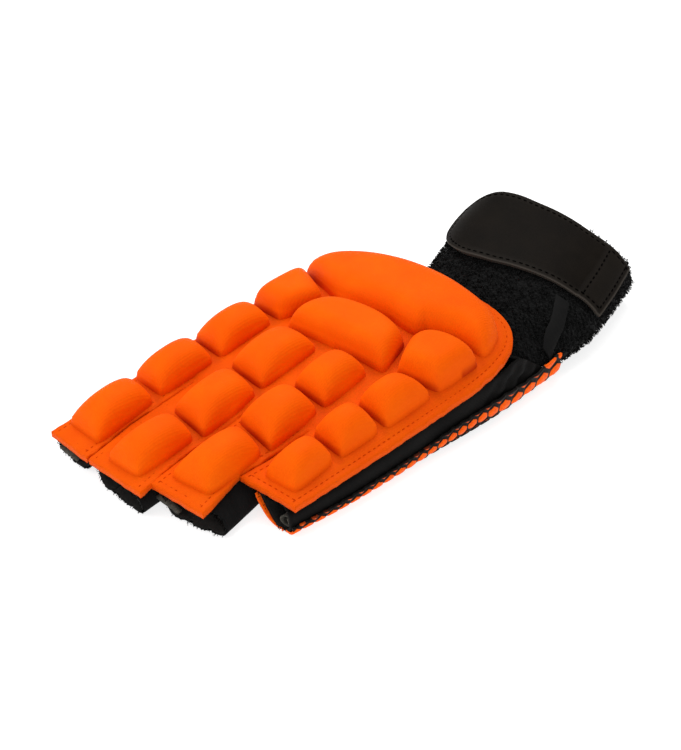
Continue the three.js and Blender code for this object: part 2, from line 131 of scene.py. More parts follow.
# Sleeves from the cut end to the root: left x, y, right x, y, and how far the palm side is shifted at each
SLEEVES = {
    "index": [(-50, -102.4, -27.8, -101.6, 0, -2.5), (-50, -72, -31.4, -72, 0, 0),
              (-50.2, -41.6, -32, -41.6, 0, 0)],
    "middle": [(-25.9, -101.6, 2.4, -100, 4.4, 3), (-29.6, -72, -1, -72, 2.6, 3),
               (-31, -41.6, -2.2, -41.6, 0, 0)],
    "ring": [(3.4, -92.4, 27, -83.4, 6, 9), (0, -67, 23.6, -67, 4, 8), (-1.2, -41.6, 22.8, -41.6, 0, 0)],
    "little": [(26, -66, 45, -63.2, 14, 1.5), (25, -53, 45.8, -53, 8, 0), (23.8, -41.6, 46.4, -41.6, 0, 0)],
}
FINGER_CAP = 8
THUMB_CAP = 7
FINGER_SQUARE = 2.7

# The thumb's sleeve from its root to its cut end: one side's x, y, the other's x, y, and its height
THUMB = [(-21.6, 47.8, -50.6, 5, 17), (-36, 40.4, -52.4, 4.4, 15), (-53, 31, -54, 3.6, 13),
         (-65, 23, -55, 2.6, 11)]

# The palm cloth lying flat, with its finger strips, without the edge that folds up
PALM = [
    (-50, -98.2), (-37, -97.6), (-33.4, -54), (-31, -50), (-30.4, -54), (-22, -97.4),
    (-7, -93), (-5, -88), (-2.6, -52), (0, -48), (0.6, -52), (8.6, -85),
    (14, -82.4), (22.4, -78), (24, -68), (21.6, -48), (24, -44), (24.6, -48),
    (38, -62), (43, -61.6),
]
PALM_REST = [(-22, 58.4), (-21, 47.4), (-50, 4.6), (-50, -50)]

# The cuff from under the back to its rim: left x, y, right x, y, height
CUFF = np.array([
    (-17, 40, 45.2, 58, 24),
    (-24, 58.5, 44, 80, 26.5),
    (-33, 77.5, 42.6, 101, 28.2),
    (-42, 98, 35.6, 123, 30.4),
    (-49.5, 119, 28, 143, 32.4),
])
# Three points of the slanted plane where the cuff starts
HEEL = [Vector((-22, 60.2, 0)), Vector((44, 82.2, 0)), Vector((44, 52.2, 25))]
# Places inside the cuff, and inside it under the strap, that their faces look away from
CUFF_CORE = (0, 90, 14)
STRAP_CORE = (0, 110, 12)
CUFF_CAP = 16
CROWN_LEFT = 24
CROWN_RIGHT = 48
CUFF_WAIST = 0.34  # height of its widest place, as a share of its own
CUFF_SQUARE = 2.1
# Places round the cuff where the strap's free end and its root end lie
STRAP_FREE = 15.2
STRAP_ROOT = 6.7
# The tape's middle line down the cuff: how far along the cuff, and the place round it
TAPE = np.array([(1.96, 8.05), (1.65, 7.75), (1.36, 7.45), (1.1, 7.25), (0.92, 7.05), (0.72, 6.65)])

# Stitches: length, gap and radius of the thread
PANEL_STITCH = (1.5, 1.0, 0.28)
STRAP_STITCH = (1.9, 1.0, 0.4)
CELL_ROWS = math.sqrt(3) / 2  # from one row of honeycomb cells to the next, in cells


# Shapes of the plan


def along(rows, column, y):
    """A cubic through the rows' values of one column."""
    ys, values = rows[:, 0], rows[:, column]
    low = np.maximum(np.arange(len(ys)) - 1, 0)
    high = np.minimum(np.arange(len(ys)) + 1, len(ys) - 1)
    slopes = (values[high] - values[low]) / (ys[high] - ys[low])
    i = np.clip(np.searchsorted(ys, y, side="right") - 1, 0, len(ys) - 2)
    span = ys[i + 1] - ys[i]
    t = np.clip((y - ys[i]) / span, 0, 1)
    bend = t * t * (3 - 2 * t) * (values[i + 1] - values[i])
    return values[i] + bend + span * (t * (1 - t) ** 2 * slopes[i] - t * t * (1 - t) * slopes[i + 1])


def underside(x, y):
    """Height of the foam sheet's lower face."""
    across = (2 * x - ARCH_LEFT - ARCH_RIGHT) / (ARCH_RIGHT - ARCH_LEFT)
    middle = along(ARCH, 1, y)
    edge = np.where(across > 0, along(ARCH, 2, y), along(ARCH, 3, y))
    return middle + (edge - middle) * across * across


def from_sides(corners, x, y):
    """How far inside each side of an outline a point lies."""
    return np.array([((x1 - x0) * (y - y0) - (y1 - y0) * (x - x0)) / math.hypot(x1 - x0, y1 - y0)
                     for (x0, y0), (x1, y1) in zip(corners, corners[1:] + corners[:1])])


def inside_of(corners, x, y, rounding=0.0, sharpness=6):
    """How far inside a pad's outline a point lies, with the corners eased."""
    d = from_sides(corners, x, y)
    worst = d.min(axis=0)
    total = sum(np.maximum(side + rounding, 1e-3) ** -sharpness for side in d)
    return np.where(worst > -rounding + 0.01, total ** (-1 / sharpness) - rounding, worst)


def pad_depth(name, x, y):
    """How far inside a pad's rounded outline a point lies; the rear pad gives way to its two neighbours."""
    depth = inside_of(PADS[name], x, y, 4.0, 3.5)
    if name == "rear":
        for other in REAR_CLEAR_OF:
            clear = -inside_of(PADS[other], x, y) - PAD_GROOVE
            depth = -np.logaddexp(-0.7 * depth, -0.7 * clear) / 0.7
    return depth


def swell(share):
    """The round climb from a pad's side, 0, to its middle, 1."""
    return (1 - (1 - np.clip(share, 0, 1)) ** 2.3) ** 0.41


def pad_rise(name, x, y):
    """A four-cornered pad is a cushion arched both ways; a larger one climbs over its shoulder to a crown."""
    corners = PADS[name]
    if len(corners) > 4 or name == "index 4":
        middle = np.mean(corners, axis=0)
        full = min(float(pad_depth(name, middle[0], middle[1])), PAD_SHOULDER)
        return PAD_RISE * swell(pad_depth(name, x, y) / full)
    d = from_sides(corners, x, y)
    along_it = 2 * np.minimum(d[0], d[2]) / (d[0] + d[2])
    across_it = 2 * np.minimum(d[1], d[3]) / (d[1] + d[3])
    return PAD_RISE * swell(along_it) * swell(across_it)


def painted_crease_shade(x, y):
    """Painted shade: 1 down between two pads that nearly touch, where shade falls, 0 in the open."""
    gaps = np.sort([np.maximum(-inside_of(corners, x, y), 0) for corners in PADS.values()], axis=0)
    return (1 - smoothstep(gaps[0] + gaps[1], 4.2, 6.5)) * (1 - smoothstep(gaps[1], 2.8, 4.3))


def ease(v, square):
    """A cosine or sine bent so that a circle becomes a rounded square."""
    return np.sign(v) * np.abs(v) ** (2 / square)


def rounded(angle, square):
    """How far out, 0 to 1, and how high, -1 to 1, a rounded square reaches at an angle in degrees."""
    a = np.radians(angle)
    return ease(np.maximum(np.cos(a), 0), square), ease(np.sin(a), square)


def height_at(level, low, waist, high):
    """Level -1 is low, 0 at the waist and 1 high."""
    return waist + level * np.where(level > 0, high - waist, waist - low)


def smoothstep(v, low, high):
    t = np.clip((v - low) / (high - low), 0, 1)
    return t * t * (3 - 2 * t)


def unit(vectors):
    return vectors / np.maximum(np.linalg.norm(vectors, axis=-1), 1e-9)[..., None]


def runs(points):
    """Distance along a line of points, from the first of them."""
    return np.r_[0, np.cumsum(np.linalg.norm(np.diff(points, axis=0), axis=1))]


def on_path(points, t):
    """The point a share t of the way along a line of points."""
    points = np.asarray(points, float)
    run = runs(points)
    return np.stack([np.interp(t * run[-1], run, column) for column in points.T], -1)


def between(rows, v):
    """The rows' columns at a share v of the way from the first row to the last."""
    return [np.interp(v, np.linspace(0, 1, len(rows)), column) for column in np.asarray(rows, float).T]


def closer_at_ends(count):
    """count + 1 places from 0 to 1, closer together at both ends."""
    steps = np.ones(count)
    for k, step in enumerate((0.2, 0.4, 0.7)):
        steps[k] = steps[-1 - k] = step
    return np.r_[0, np.cumsum(steps)] / steps.sum()


def wander(points, scale, seed=(0, 0, 0)):
    """Smooth noise at each point."""
    return np.array([noise.noise(Vector(point) * scale + Vector(seed)) for point in points])


def outward(normals, points, core):
    """The normals, each turned to look away from the core."""
    return normals * np.sign(np.sum(normals * (points - np.array(core)), axis=-1))[..., None]


# Mesh making


def new_grid(bm, columns, rows, place, flat=None, u=None, v=None):
    """A sheet of cells whose corners stand where place(u, v) says.

    The texture map is (u, v), or flat(u, v), and u and v hold the places of its lines where they aren't even.
    """
    corners = bmesh.ops.create_grid(bm, x_segments=columns, y_segments=rows, size=0.5)["verts"]
    uv = np.array([(c.co.x, c.co.y) for c in corners]) + 0.5
    across = uv[:, 0] if u is None else u[np.rint(uv[:, 0] * columns).astype(int)]
    down = uv[:, 1] if v is None else v[np.rint(uv[:, 1] * rows).astype(int)]
    for corner, point in zip(corners, place(across, down)):
        corner.co = point
    layer = bm.loops.layers.uv.verify()
    cut = np.stack([across, down], -1) if flat is None else flat(across, down)
    spot = {corner: tuple(c) for corner, c in zip(corners, cut)}
    for face in {face for corner in corners for face in corner.link_faces}:
        for loop in face.loops:
            loop[layer].uv = spot[loop.vert]
    return corners


def weld(bm, corners):
    bmesh.ops.remove_doubles(bm, verts=corners, dist=0.002)
    return [corner for corner in corners if corner.is_valid]


def lone_grid(columns, rows, place, core=None, flat=None, tube=False):
    """A mesh of one grid, facing away from its core or from its own middle; a tube's two sides are joined."""
    bm = bmesh.new()
    made = new_grid(bm, columns, rows, place, flat)
    if tube:
        weld(bm, made)
    face_away_from(bm, core or np.mean([tuple(corner.co) for corner in bm.verts], axis=0))
    return bm


def mark(corners, layer, values):
    for corner, value in zip(corners, values):
        corner[layer] = float(value)


def face_away_from(bm, centre, faces=None):
    """Turns the faces so that most of them look away from the centre."""
    bm.normal_update()
    faces = list(faces or bm.faces)
    centre = Vector(centre)
    if sum(face.normal.dot(face.calc_center_median() - centre) * face.calc_area() for face in faces) < 0:
        bmesh.ops.reverse_faces(bm, faces=faces)


def in_scene(name, data):
    thing = bpy.data.objects.new(name, data)
    bpy.context.scene.collection.objects.link(thing)
    return thing


def finish_piece(name, mesh, materials):
    """Moves a mesh made on the plan into the model's frame, in metres, and makes it a piece."""
    mesh.transform(Matrix.Scale(0.001, 4) @ Matrix.Translation(PLAN_SHIFT))
    for material in materials:
        mesh.materials.append(material)
    mesh.shade_smooth()
    piece = in_scene(name, mesh)
    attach(piece, "root")
    return piece


def new_piece(name, bm, materials, replaces=(), wall=None, bevel=None):
    """A piece from its faces; wall thickens it inward, with its inner face in the last material."""
    mesh = bpy.data.meshes.new(name)
    bm.to_mesh(mesh)
    bm.free()
    piece = finish_piece(name, mesh, materials)
    if wall:
        cloth = piece.modifiers.new("cloth thickness", "SOLIDIFY")
        cloth.thickness = wall / 1000
        cloth.offset = -1
        cloth.use_even_offset = False
        cloth.material_offset = len(materials) - 1
    if bevel:
        edge = piece.modifiers.new("soft edge", "BEVEL")
        edge.width = bevel / 1000
        edge.segments = 3
        edge.limit_method = "ANGLE"
        edge.angle_limit = math.radians(50)
    if replaces:
        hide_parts(*replaces)
    return piece


def thread_piece(name, lines, radius, material):
    """Short threads, each a line of points with a square bead round it."""
    curve = bpy.data.curves.new(name, "CURVE")
    curve.dimensions = "3D"
    curve.bevel_depth = radius
    curve.bevel_resolution = 0
    curve.resolution_u = 1
    curve.use_fill_caps = True
    for line in lines:
        spline = curve.splines.new("POLY")
        spline.points.add(len(line) - 1)
        spline.points.foreach_set("co", np.c_[line, np.ones(len(line))].ravel())
    spun = in_scene(name, curve)
    mesh = bpy.data.meshes.new_from_object(spun.evaluated_get(bpy.context.evaluated_depsgraph_get()))
    bpy.data.objects.remove(spun)
    mesh.name = name
    mesh.materials.clear()
    return finish_piece(name, mesh, [material])


def sew(bm, path, lift, length, gap, radius):
    """Stitches along a line of points: short beads of thread, lying across the normals that lift gives."""
    run = runs(path)
    count = int(run[-1] // (length + gap))
    for k in range(count):
        mid = (k + 0.5) * run[-1] / count
        before, at, after = (Vector([np.interp(s, run, column) for column in path.T])
                             for s in (mid - 0.4, mid, mid + 0.4))
        forward = (after - before).normalized()
        side = Vector(lift(at)).normalized().cross(forward).normalized()
        turn = Matrix((forward, side, forward.cross(side))).transposed().to_4x4()
        bmesh.ops.create_uvsphere(bm, u_segments=6, v_segments=4, radius=1,
                                  matrix=Matrix.Translation(at) @ turn @ Matrix.Rotation(math.pi / 2, 4, "Y")
                                  @ Matrix.Diagonal((radius * 0.7, radius, length / 2, 1)))


# Materials


def colour(hex_text):
    """sRGB hex to linear."""
    parts = [int(hex_text[i:i + 2], 16) / 255 for i in (1, 3, 5)]
    return tuple(p / 12.92 if p <= 0.04045 else ((p + 0.055) / 1.055) ** 2.4 for p in parts) + (1.0,)


def dimmed(shade, share):
    return tuple(c * share for c in shade[:3]) + (1.0,)


def add(tree, kind, settings=None, **links):
    """Adds a node; links give its inputs by name, or by number as in_0, as values or as outputs."""
    node = tree.nodes.new(kind)
    for key, value in (settings or {}).items():
        setattr(node, key, value)
    for key, value in links.items():
        socket = node.inputs[int(key[3:])] if key.startswith("in_") else node.inputs[key.replace("_", " ")]
        if isinstance(value, bpy.types.NodeSocket):
            tree.links.new(value, socket)
        else:
            socket.default_value = value
    return node


def calc(tree, operation, *values, kind="ShaderNodeMath", out=0, **settings):
    """The result of a math node."""
    links = {f"in_{k}": value for k, value in enumerate(values)}
    return add(tree, kind, {"operation": operation, **settings}, **links).outputs[out]


def mix(tree, share, first, second):
    return add(tree, "ShaderNodeMix", {"data_type": "RGBA"}, in_0=share, in_6=first, in_7=second).outputs[2]


def spread(tree, value, source, target, kind="LINEAR"):
    """A value moved from its source range to a target range."""
    node = add(tree, "ShaderNodeMapRange", {"interpolation_type": kind}, Value=value, From_Min=source[0],
               From_Max=source[1], To_Min=target[0], To_Max=target[1])
    return node.outputs["Result"]


def cloud(tree, at, scale, detail, **more):
    return add(tree, "ShaderNodeTexNoise", None, Vector=at, Scale=scale, Detail=detail, **more).outputs["Fac"]


def dots(tree, at, scale):
    return add(tree, "ShaderNodeTexVoronoi", None, Vector=at, Scale=scale).outputs["Distance"]


def wave(tree, at, direction, pitch, **more):
    """Bands whose pitch is given in millimetres."""
    return add(tree, "ShaderNodeTexWave", {"bands_direction": direction}, Vector=at,
               Scale=2 * math.pi / (20 * pitch / 1000), **more).outputs["Fac"]


def by_vertex(tree, name):
    """A value stored on the mesh's corners."""
    return add(tree, "ShaderNodeAttribute", {"attribute_name": name}).outputs["Fac"]


def ramp(tree, factor, stops):
    node = add(tree, "ShaderNodeValToRGB", None, in_0=factor)
    elements = node.color_ramp.elements
    for element, (position, hex_text) in zip(elements, (stops[0], stops[-1])):
        element.position, element.color = position, colour(hex_text)
    for position, hex_text in stops[1:-1]:
        elements.new(position).color = colour(hex_text)
    return node.outputs["Color"]


def finish_of(name, **shader):
    """A new material with its Principled shader set, its tree and its object coordinates."""
    material = bpy.data.materials.new(name)
    material.use_nodes = True
    tree = material.node_tree
    for key, value in shader.items():
        tree.nodes["Principled BSDF"].inputs[key.replace("_", " ")].default_value = value
    return material, tree, add(tree, "ShaderNodeTexCoord").outputs["Object"]


def dress(material, tint, height=None, strength=0.0, depth=0.0, invert=False):
    """Gives a material its colour and its relief, whose depth is in metres."""
    tree = material.node_tree
    shader = tree.nodes["Principled BSDF"].inputs
    tree.links.new(tint, shader["Base Color"])
    if height is not None:
        bump = add(tree, "ShaderNodeBump", {"invert": invert}, Height=height, Strength=strength,
                   Distance=depth)
        tree.links.new(bump.outputs["Normal"], shader["Normal"])
    return material


def foam_cloth():
    """Knitted cloth laminated over moulded EVA foam: matt, saturated, with fine ribs along the fingers, and
    painted shade in deep red between the pads and over the sheet.
    """
    material, tree, at = finish_of("rib_knit_over_eva_foam", Roughness=0.62, Specular_IOR_Level=0.04,
                                   Sheen_Weight=0.01, Sheen_Roughness=0.4)
    fuzz = cloud(tree, at, 1500.0, 2.0)
    mottle = calc(tree, "MULTIPLY_ADD", fuzz, 0.35, cloud(tree, at, 55.0, 4.0, Roughness=0.6))
    tint = ramp(tree, mottle, [(0.45, "#ea5400"), (0.68, "#ee5a00"), (0.95, "#f26200")])
    # Painted shade: the share stored on the mesh darkens the orange towards #a61e00 between nearly touching
    # pads and over the sheet
    deep = calc(tree, "MULTIPLY", by_vertex(tree, "painted_crease_shade"), 0.8)
    ribs = wave(tree, at, "X", 0.8, Distortion=0.12, Detail=1.0)
    height = calc(tree, "MULTIPLY_ADD", fuzz, 0.6, ribs)
    return dress(material, mix(tree, deep, tint, colour("#a61e00")), height, 0.4, 0.00012)


def thread(name, hex_text):
    """Spun polyester thread: matt, with a fine twist."""
    material, tree, at = finish_of(name, Roughness=0.8, Specular_IOR_Level=0.02)
    twist, base = cloud(tree, at, 2500.0, 1.0), colour(hex_text)
    return dress(material, mix(tree, twist, dimmed(base, 0.7), base), twist, 0.5, 0.0001)


def knit(name, dark, light, pitch, rough=0.88, depth=0.00018):
    """Matt knitted cloth: loops in rows, drawn at the pitch given in millimetres."""
    material, tree, at = finish_of(name, Roughness=rough, Specular_IOR_Level=0.08, Sheen_Weight=0.02,
                                   Sheen_Roughness=0.5)
    courses = wave(tree, at, "Y", pitch, Distortion=1.5, Detail=2.0)
    wales = wave(tree, at, "DIAGONAL", pitch / 0.8, Distortion=1.5, Detail=2.0)
    loops = calc(tree, "MULTIPLY", courses, wales)
    mottle = calc(tree, "MULTIPLY_ADD", loops, 0.15, cloud(tree, at, 120.0, 5.0, Roughness=0.7))
    return dress(material, ramp(tree, mottle, [(0.35, dark), (0.95, light)]), loops, 0.3, depth)


def brushed(name, dark, light):
    """Brushed lining: short matted fibres lying every way."""
    material, tree, at = finish_of(name, Roughness=0.95, Specular_IOR_Level=0.05, Sheen_Weight=0.05)
    fibres = cloud(tree, at, 700.0, 5.0, Roughness=0.7, Distortion=0.8)
    return dress(material, ramp(tree, fibres, [(0.3, dark), (0.7, light)]), fibres, 0.6, 0.0002)


def terry():
    """Cotton terry: black loops that swallow the light, paler where a loop catches it."""
    material, tree, at = finish_of("black_terry_loops", Roughness=0.95, Specular_IOR_Level=0.06,
                                   Sheen_Weight=0.03, Sheen_Roughness=0.6)
    tufts = dots(tree, at, 700.0)
    mottle = calc(tree, "MULTIPLY_ADD", tufts, -0.5, cloud(tree, at, 160.0, 4.0))
    tint = ramp(tree, mottle, [(0.05, "#050505"), (0.55, "#0f0f0f")])
    return dress(material, tint, tufts, 0.9, 0.0008, invert=True)


def coated_strap():
    """PU-coated webbing: a smooth dark skin with a fine leather grain, its cut edge paler, partly in the
    edge's own colour and partly as a painted highlight, and a faint painted highlight along its seams and
    over its root box.
    """
    material, tree, at = finish_of("coated_strap_fabric", Specular_IOR_Level=0.03)
    cloudy = cloud(tree, at, 90.0, 5.0, Roughness=0.6)
    rough = spread(tree, cloudy, (0.0, 1.0), (0.42, 0.58))
    tree.links.new(rough, tree.nodes["Principled BSDF"].inputs["Roughness"])
    tint = ramp(tree, cloudy, [(0.3, "#0e0b08"), (0.7, "#15110d")])
    # Painted highlight: the edge share pales the skin towards #403b36, fully on the cut edge, where it is
    # partly the edge's own colour, and faintly along the seams and over the root box
    highlighted = mix(tree, by_vertex(tree, "edge"), tint, colour("#403b36"))
    return dress(material, highlighted, dots(tree, at, 1600.0), 0.3, 0.0001)


def stretch():
    """Smooth warp-knit stretch cloth: near black with a soft gloss and a very fine weave."""
    material, tree, at = finish_of("smooth_stretch_cloth", Roughness=0.65, Specular_IOR_Level=0.05,
                                   Sheen_Weight=0.01)
    tint = ramp(tree, cloud(tree, at, 70.0, 4.0), [(0.3, "#0b0a0a"), (0.7, "#131211")])
    return dress(material, tint, wave(tree, at, "DIAGONAL", 0.7, Distortion=0.8), 0.25, 0.0001)


def grip_print():
    """Orange synthetic suede under a black printed honeycomb: the cells lie proud of the lines between them.

    The cloth's own map gives place in cells: one cell is one unit wide, and rows stand CELL_ROWS apart.
    """
    material, tree, at = finish_of("honeycomb_grip_cloth", Roughness=0.6, Specular_IOR_Level=0.08,
                                   Sheen_Weight=0.03)

    def vector(operation, *values, out="Vector"):
        return calc(tree, operation, *values, kind="ShaderNodeVectorMath", out=out)

    wobble = add(tree, "ShaderNodeTexNoise", None, Vector=at, Scale=260.0, Detail=1.0).outputs["Color"]
    flat = vector("MULTIPLY", add(tree, "ShaderNodeTexCoord").outputs["UV"], (1, 1, 0))
    flat = vector("MULTIPLY_ADD", wobble, (0.12, 0.12, 0), flat)
    near = []
    for start in ((0.0, 0.0, 0.0), (0.5, CELL_ROWS, 0.0)):
        wrapped = vector("WRAP", vector("ADD", flat, start), (1.0, 2 * CELL_ROWS, 1.0), (0.0, 0.0, 0.0))
        from_middle = vector("SUBTRACT", wrapped, (0.5, CELL_ROWS, 0.0))
        from_middle = vector("ABSOLUTE", vector("MULTIPLY", from_middle, (1, 1, 0)))
        slant = vector("DOT_PRODUCT", from_middle, (0.5, CELL_ROWS, 0.0), out="Value")
        upright = add(tree, "ShaderNodeSeparateXYZ", None, in_0=from_middle).outputs[0]
        near.append(calc(tree, "SMOOTH_MAX", slant, upright, 0.2))
    reach = calc(tree, "MINIMUM", *near)
    cell = spread(tree, reach, (0.375, 0.405), (1.0, 0.0), "SMOOTHSTEP")
    bare = calc(tree, "MULTIPLY_ADD", by_vertex(tree, "ink"), -1.0, cell, use_clamp=True)
    orange = ramp(tree, cloud(tree, at, 900.0, 3.0), [(0.35, "#f05200"), (0.65, "#fc6604")])
    crown = spread(tree, reach, (0.1, 0.46), (1.0, 0.0))
    return dress(material, mix(tree, bare, colour("#15100d"), orange), crown, 0.8, 0.0007)


def hook_cloth():
    """Moulded nylon hook tape: dense black stubs with a hard, slightly glossy tip, each painted paler at its
    middle as a painted highlight.
    """
    material, tree, at = finish_of("nylon_hook_tape", Roughness=0.45)
    stubs = dots(tree, at, 900.0)
    # Painted highlight: paler at the middle of each stub, where its tip stands highest
    tint = ramp(tree, stubs, [(0.1, "#202020"), (0.6, "#0a0a0a")])
    return dress(material, tint, stubs, 1.0, 0.0006, invert=True)


def floor_paint():
    """Matt, faintly uneven studio board, lit a little from within so that shadows on it stay pale."""
    material, tree, at = finish_of("pale_studio_floor", Roughness=0.9, Specular_IOR_Level=0.0,
                                   Emission_Color=(1, 1, 1, 1), Emission_Strength=0.75)
    base = colour("#bcbcbc")
    return dress(material, mix(tree, cloud(tree, at, 8.0, 3.0), base, dimmed(base, 0.985)))


FOAM_CLOTH = foam_cloth()
GRIP = grip_print()
STRETCH = stretch()
SLEEVE_OUT = knit("black_sleeve_knit", "#0a0a0a", "#161616", 0.8)
SLEEVE_IN = brushed("dark_brushed_lining", "#161616", "#2c2b29")
LINING_EDGE = brushed("grey_lining_edge", "#22221f", "#57544c")
TERRY_LOOPS = terry()
STRAP_SKIN = coated_strap()
TAPE_CLOTH = knit("black_ribbed_tape", "#0a0a0a", "#141312", 0.7, 0.7, 0.0001)
HOOKS = hook_cloth()
BLACK_THREAD = thread("black_sewing_thread", "#030202")
DARK_ORANGE_THREAD = thread("deep_orange_sewing_thread", "#cc3e00")


# The foam back

COLUMNS_A_FINGER = 26
FINGER_ROWS = 44
HAND_ROWS = 72
EDGE_ROUND = 0.8
SHEET_SHADE = 0.3  # painted shade: the sheet between the pads, and the foot of each pad, is painted this much deeper an orange than the pads

# A pad's flank, from a fillet on the sheet to its shoulder: how far inside the outline, and how high
PAD_FLANK = [(-0.4, -0.9), (-0.36, 0.05), (-0.25, 0.7), (-0.1, 1.7), (0.03, 2.7)]
PAD_FLANK_TOP = 3.0
# Then rings at these depths, and rings at these shares of the last of them to its middle
PAD_SHOULDERS = [0.2, 0.4, 0.7, 1.1, 1.6, 2.2, 2.9, 3.6, 4.3]
PAD_CROWN = [0.88, 0.74, 0.58, 0.42, 0.26, 0.12, 0.0]


def bezier(points, start, end):
    t = np.linspace(start, end, 24)[:, None]
    points = [np.array(point, float) for point in points]
    while len(points) > 1:
        points = [a + (b - a) * t for a, b in zip(points, points[1:])]
    return points[0]


def rear_outline():
    """The back's index, little and rear edges behind the fingers, parted half way round its corners."""
    index_corner = [(-53, 24), (-51.6, 41), (-35, 49)]
    little_corner = [(47.4, 26), (46.4, 50), (42, 62.4), (24, 61.8)]
    left = np.vstack([[(-52.28, -50), (-53.2, -20)], bezier(index_corner, 0, 0.5)])
    right = np.vstack([[(48.33, -36), (48.1, -20)], bezier(little_corner, 0, 0.5)])
    back = np.vstack([bezier(index_corner, 0.5, 1), bezier([(-35, 49), (-22, 55), (-4, 58.8)], 0, 1)[1:],
                      bezier(little_corner, 1, 0.5)])
    return left, right, back


LEFT_EDGE, RIGHT_EDGE, REAR_EDGE = rear_outline()
HAND_RIM = np.vstack([RIGHT_EDGE, REAR_EDGE[::-1][1:], LEFT_EDGE[::-1][1:]])
OUTLINE = np.vstack([finger["left"][::-1] + finger["right"] for finger in FINGERS] + [HAND_RIM[1:]])


def from_edge(x, y):
    """Distance from the back's outline, slits included."""
    nearest = np.full(np.shape(x), np.inf)
    for (x0, y0), (dx, dy) in zip(OUTLINE, np.diff(OUTLINE, axis=0)):
        length = dx * dx + dy * dy
        if length > 1e-9:
            t = np.clip(((x - x0) * dx + (y - y0) * dy) / length, 0, 1)
            nearest = np.minimum(nearest, np.hypot(x - x0 - t * dx, y - y0 - t * dy))
    return nearest


def sheet_plan():
    """Plan of the sheet: for each finger and for the hand behind them, a place for each u and v."""
    def finger_place(finger):
        left, right = np.array(finger["left"]), np.array(finger["right"])
        return lambda u, v: on_path(left, v) * (1 - u)[:, None] + on_path(right, v) * u[:, None]

    roots = np.array([FINGERS[0]["left"][-1]] + [finger["right"][-1] for finger in FINGERS])

    def hand_place(u, v):
        left, right = on_path(LEFT_EDGE, v), on_path(RIGHT_EDGE, v)
        front, back = np.stack(between(roots, u), -1), on_path(REAR_EDGE, u)
        u, v = u[:, None], v[:, None]
        corners = ((roots[0] * (1 - u) + roots[-1] * u) * (1 - v)
                   + (REAR_EDGE[0] * (1 - u) + REAR_EDGE[-1] * u) * v)
        return left * (1 - u) + right * u + front * (1 - v) + back * v - corners

    return [finger_place(finger) for finger in FINGERS], hand_place


def sheet_heights(x, y):
    """Underside and top of the sheet: a moulded slab with a softened edge and its row of stitches sunk in."""
    d = from_edge(x, y)
    drop = EDGE_ROUND * (1 - np.sqrt(1 - (1 - np.clip(d / EDGE_ROUND, 0, 1)) ** 2))
    drop += 0.6 * (1 - smoothstep(d, 0.8, 4.5))
    seam = 0.35 * np.exp(-(((d - SEAM_INSET) / 0.55) ** 2))
    low = underside(x, y)
    return low, low + FOAM - drop - seam


def make_foam_back():
    """The sheet as one welded slab, and the pads on it."""
    bm = bmesh.new()
    fingers, hand = sheet_plan()
    fine = closer_at_ends(COLUMNS_A_FINGER)

    def wavering(place):
        """Its places moved a little, as hand-cut edges are."""
        def moved(u, v):
            plan = np.c_[place(u, v), 0 * u]
            return plan + 0.35 * np.c_[wander(plan, 0.3), wander(plan, 0.3, (0, 0, 40)), 0 * u]
        return moved

    for place in fingers:
        new_grid(bm, COLUMNS_A_FINGER, FINGER_ROWS, wavering(place), u=fine, v=closer_at_ends(FINGER_ROWS))
    across = np.r_[0, np.concatenate([(fine[1:] + k) / len(FINGERS) for k in range(len(FINGERS))])]
    new_grid(bm, COLUMNS_A_FINGER * len(FINGERS), HAND_ROWS, wavering(hand), u=across,
             v=closer_at_ends(HAND_ROWS))
    weld(bm, bm.verts)
    bmesh.ops.recalc_face_normals(bm, faces=bm.faces)
    bm.normal_update()
    if sum(face.normal.z for face in bm.faces) < 0:
        bmesh.ops.reverse_faces(bm, faces=bm.faces)
    lower = list(bm.verts)
    grown = bmesh.ops.extrude_face_region(bm, geom=bm.faces, use_keep_orig=True)["geom"]
    upper = [g for g in grown if isinstance(g, bmesh.types.BMVert)]
    for side, corners in enumerate((lower, upper)):
        plan = np.array([corner.co[:2] for corner in corners])
        for corner, z in zip(corners, sheet_heights(*plan.T)[side]):
            corner.co.z = z
    bmesh.ops.recalc_face_normals(bm, faces=bm.faces)
    plan = np.array([corner.co[:2] for corner in bm.verts])
    # Painted shade on the sheet: strong between nearly touching pads, lighter everywhere else
    mark(bm.verts, bm.verts.layers.float.new("painted_crease_shade"), np.maximum(0.45 * painted_crease_shade(*plan.T), SHEET_SHADE))
    for name in PADS:
        add_pad(bm, name)
    return new_piece("foam_back", bm, [FOAM_CLOTH], ["back_panel"])


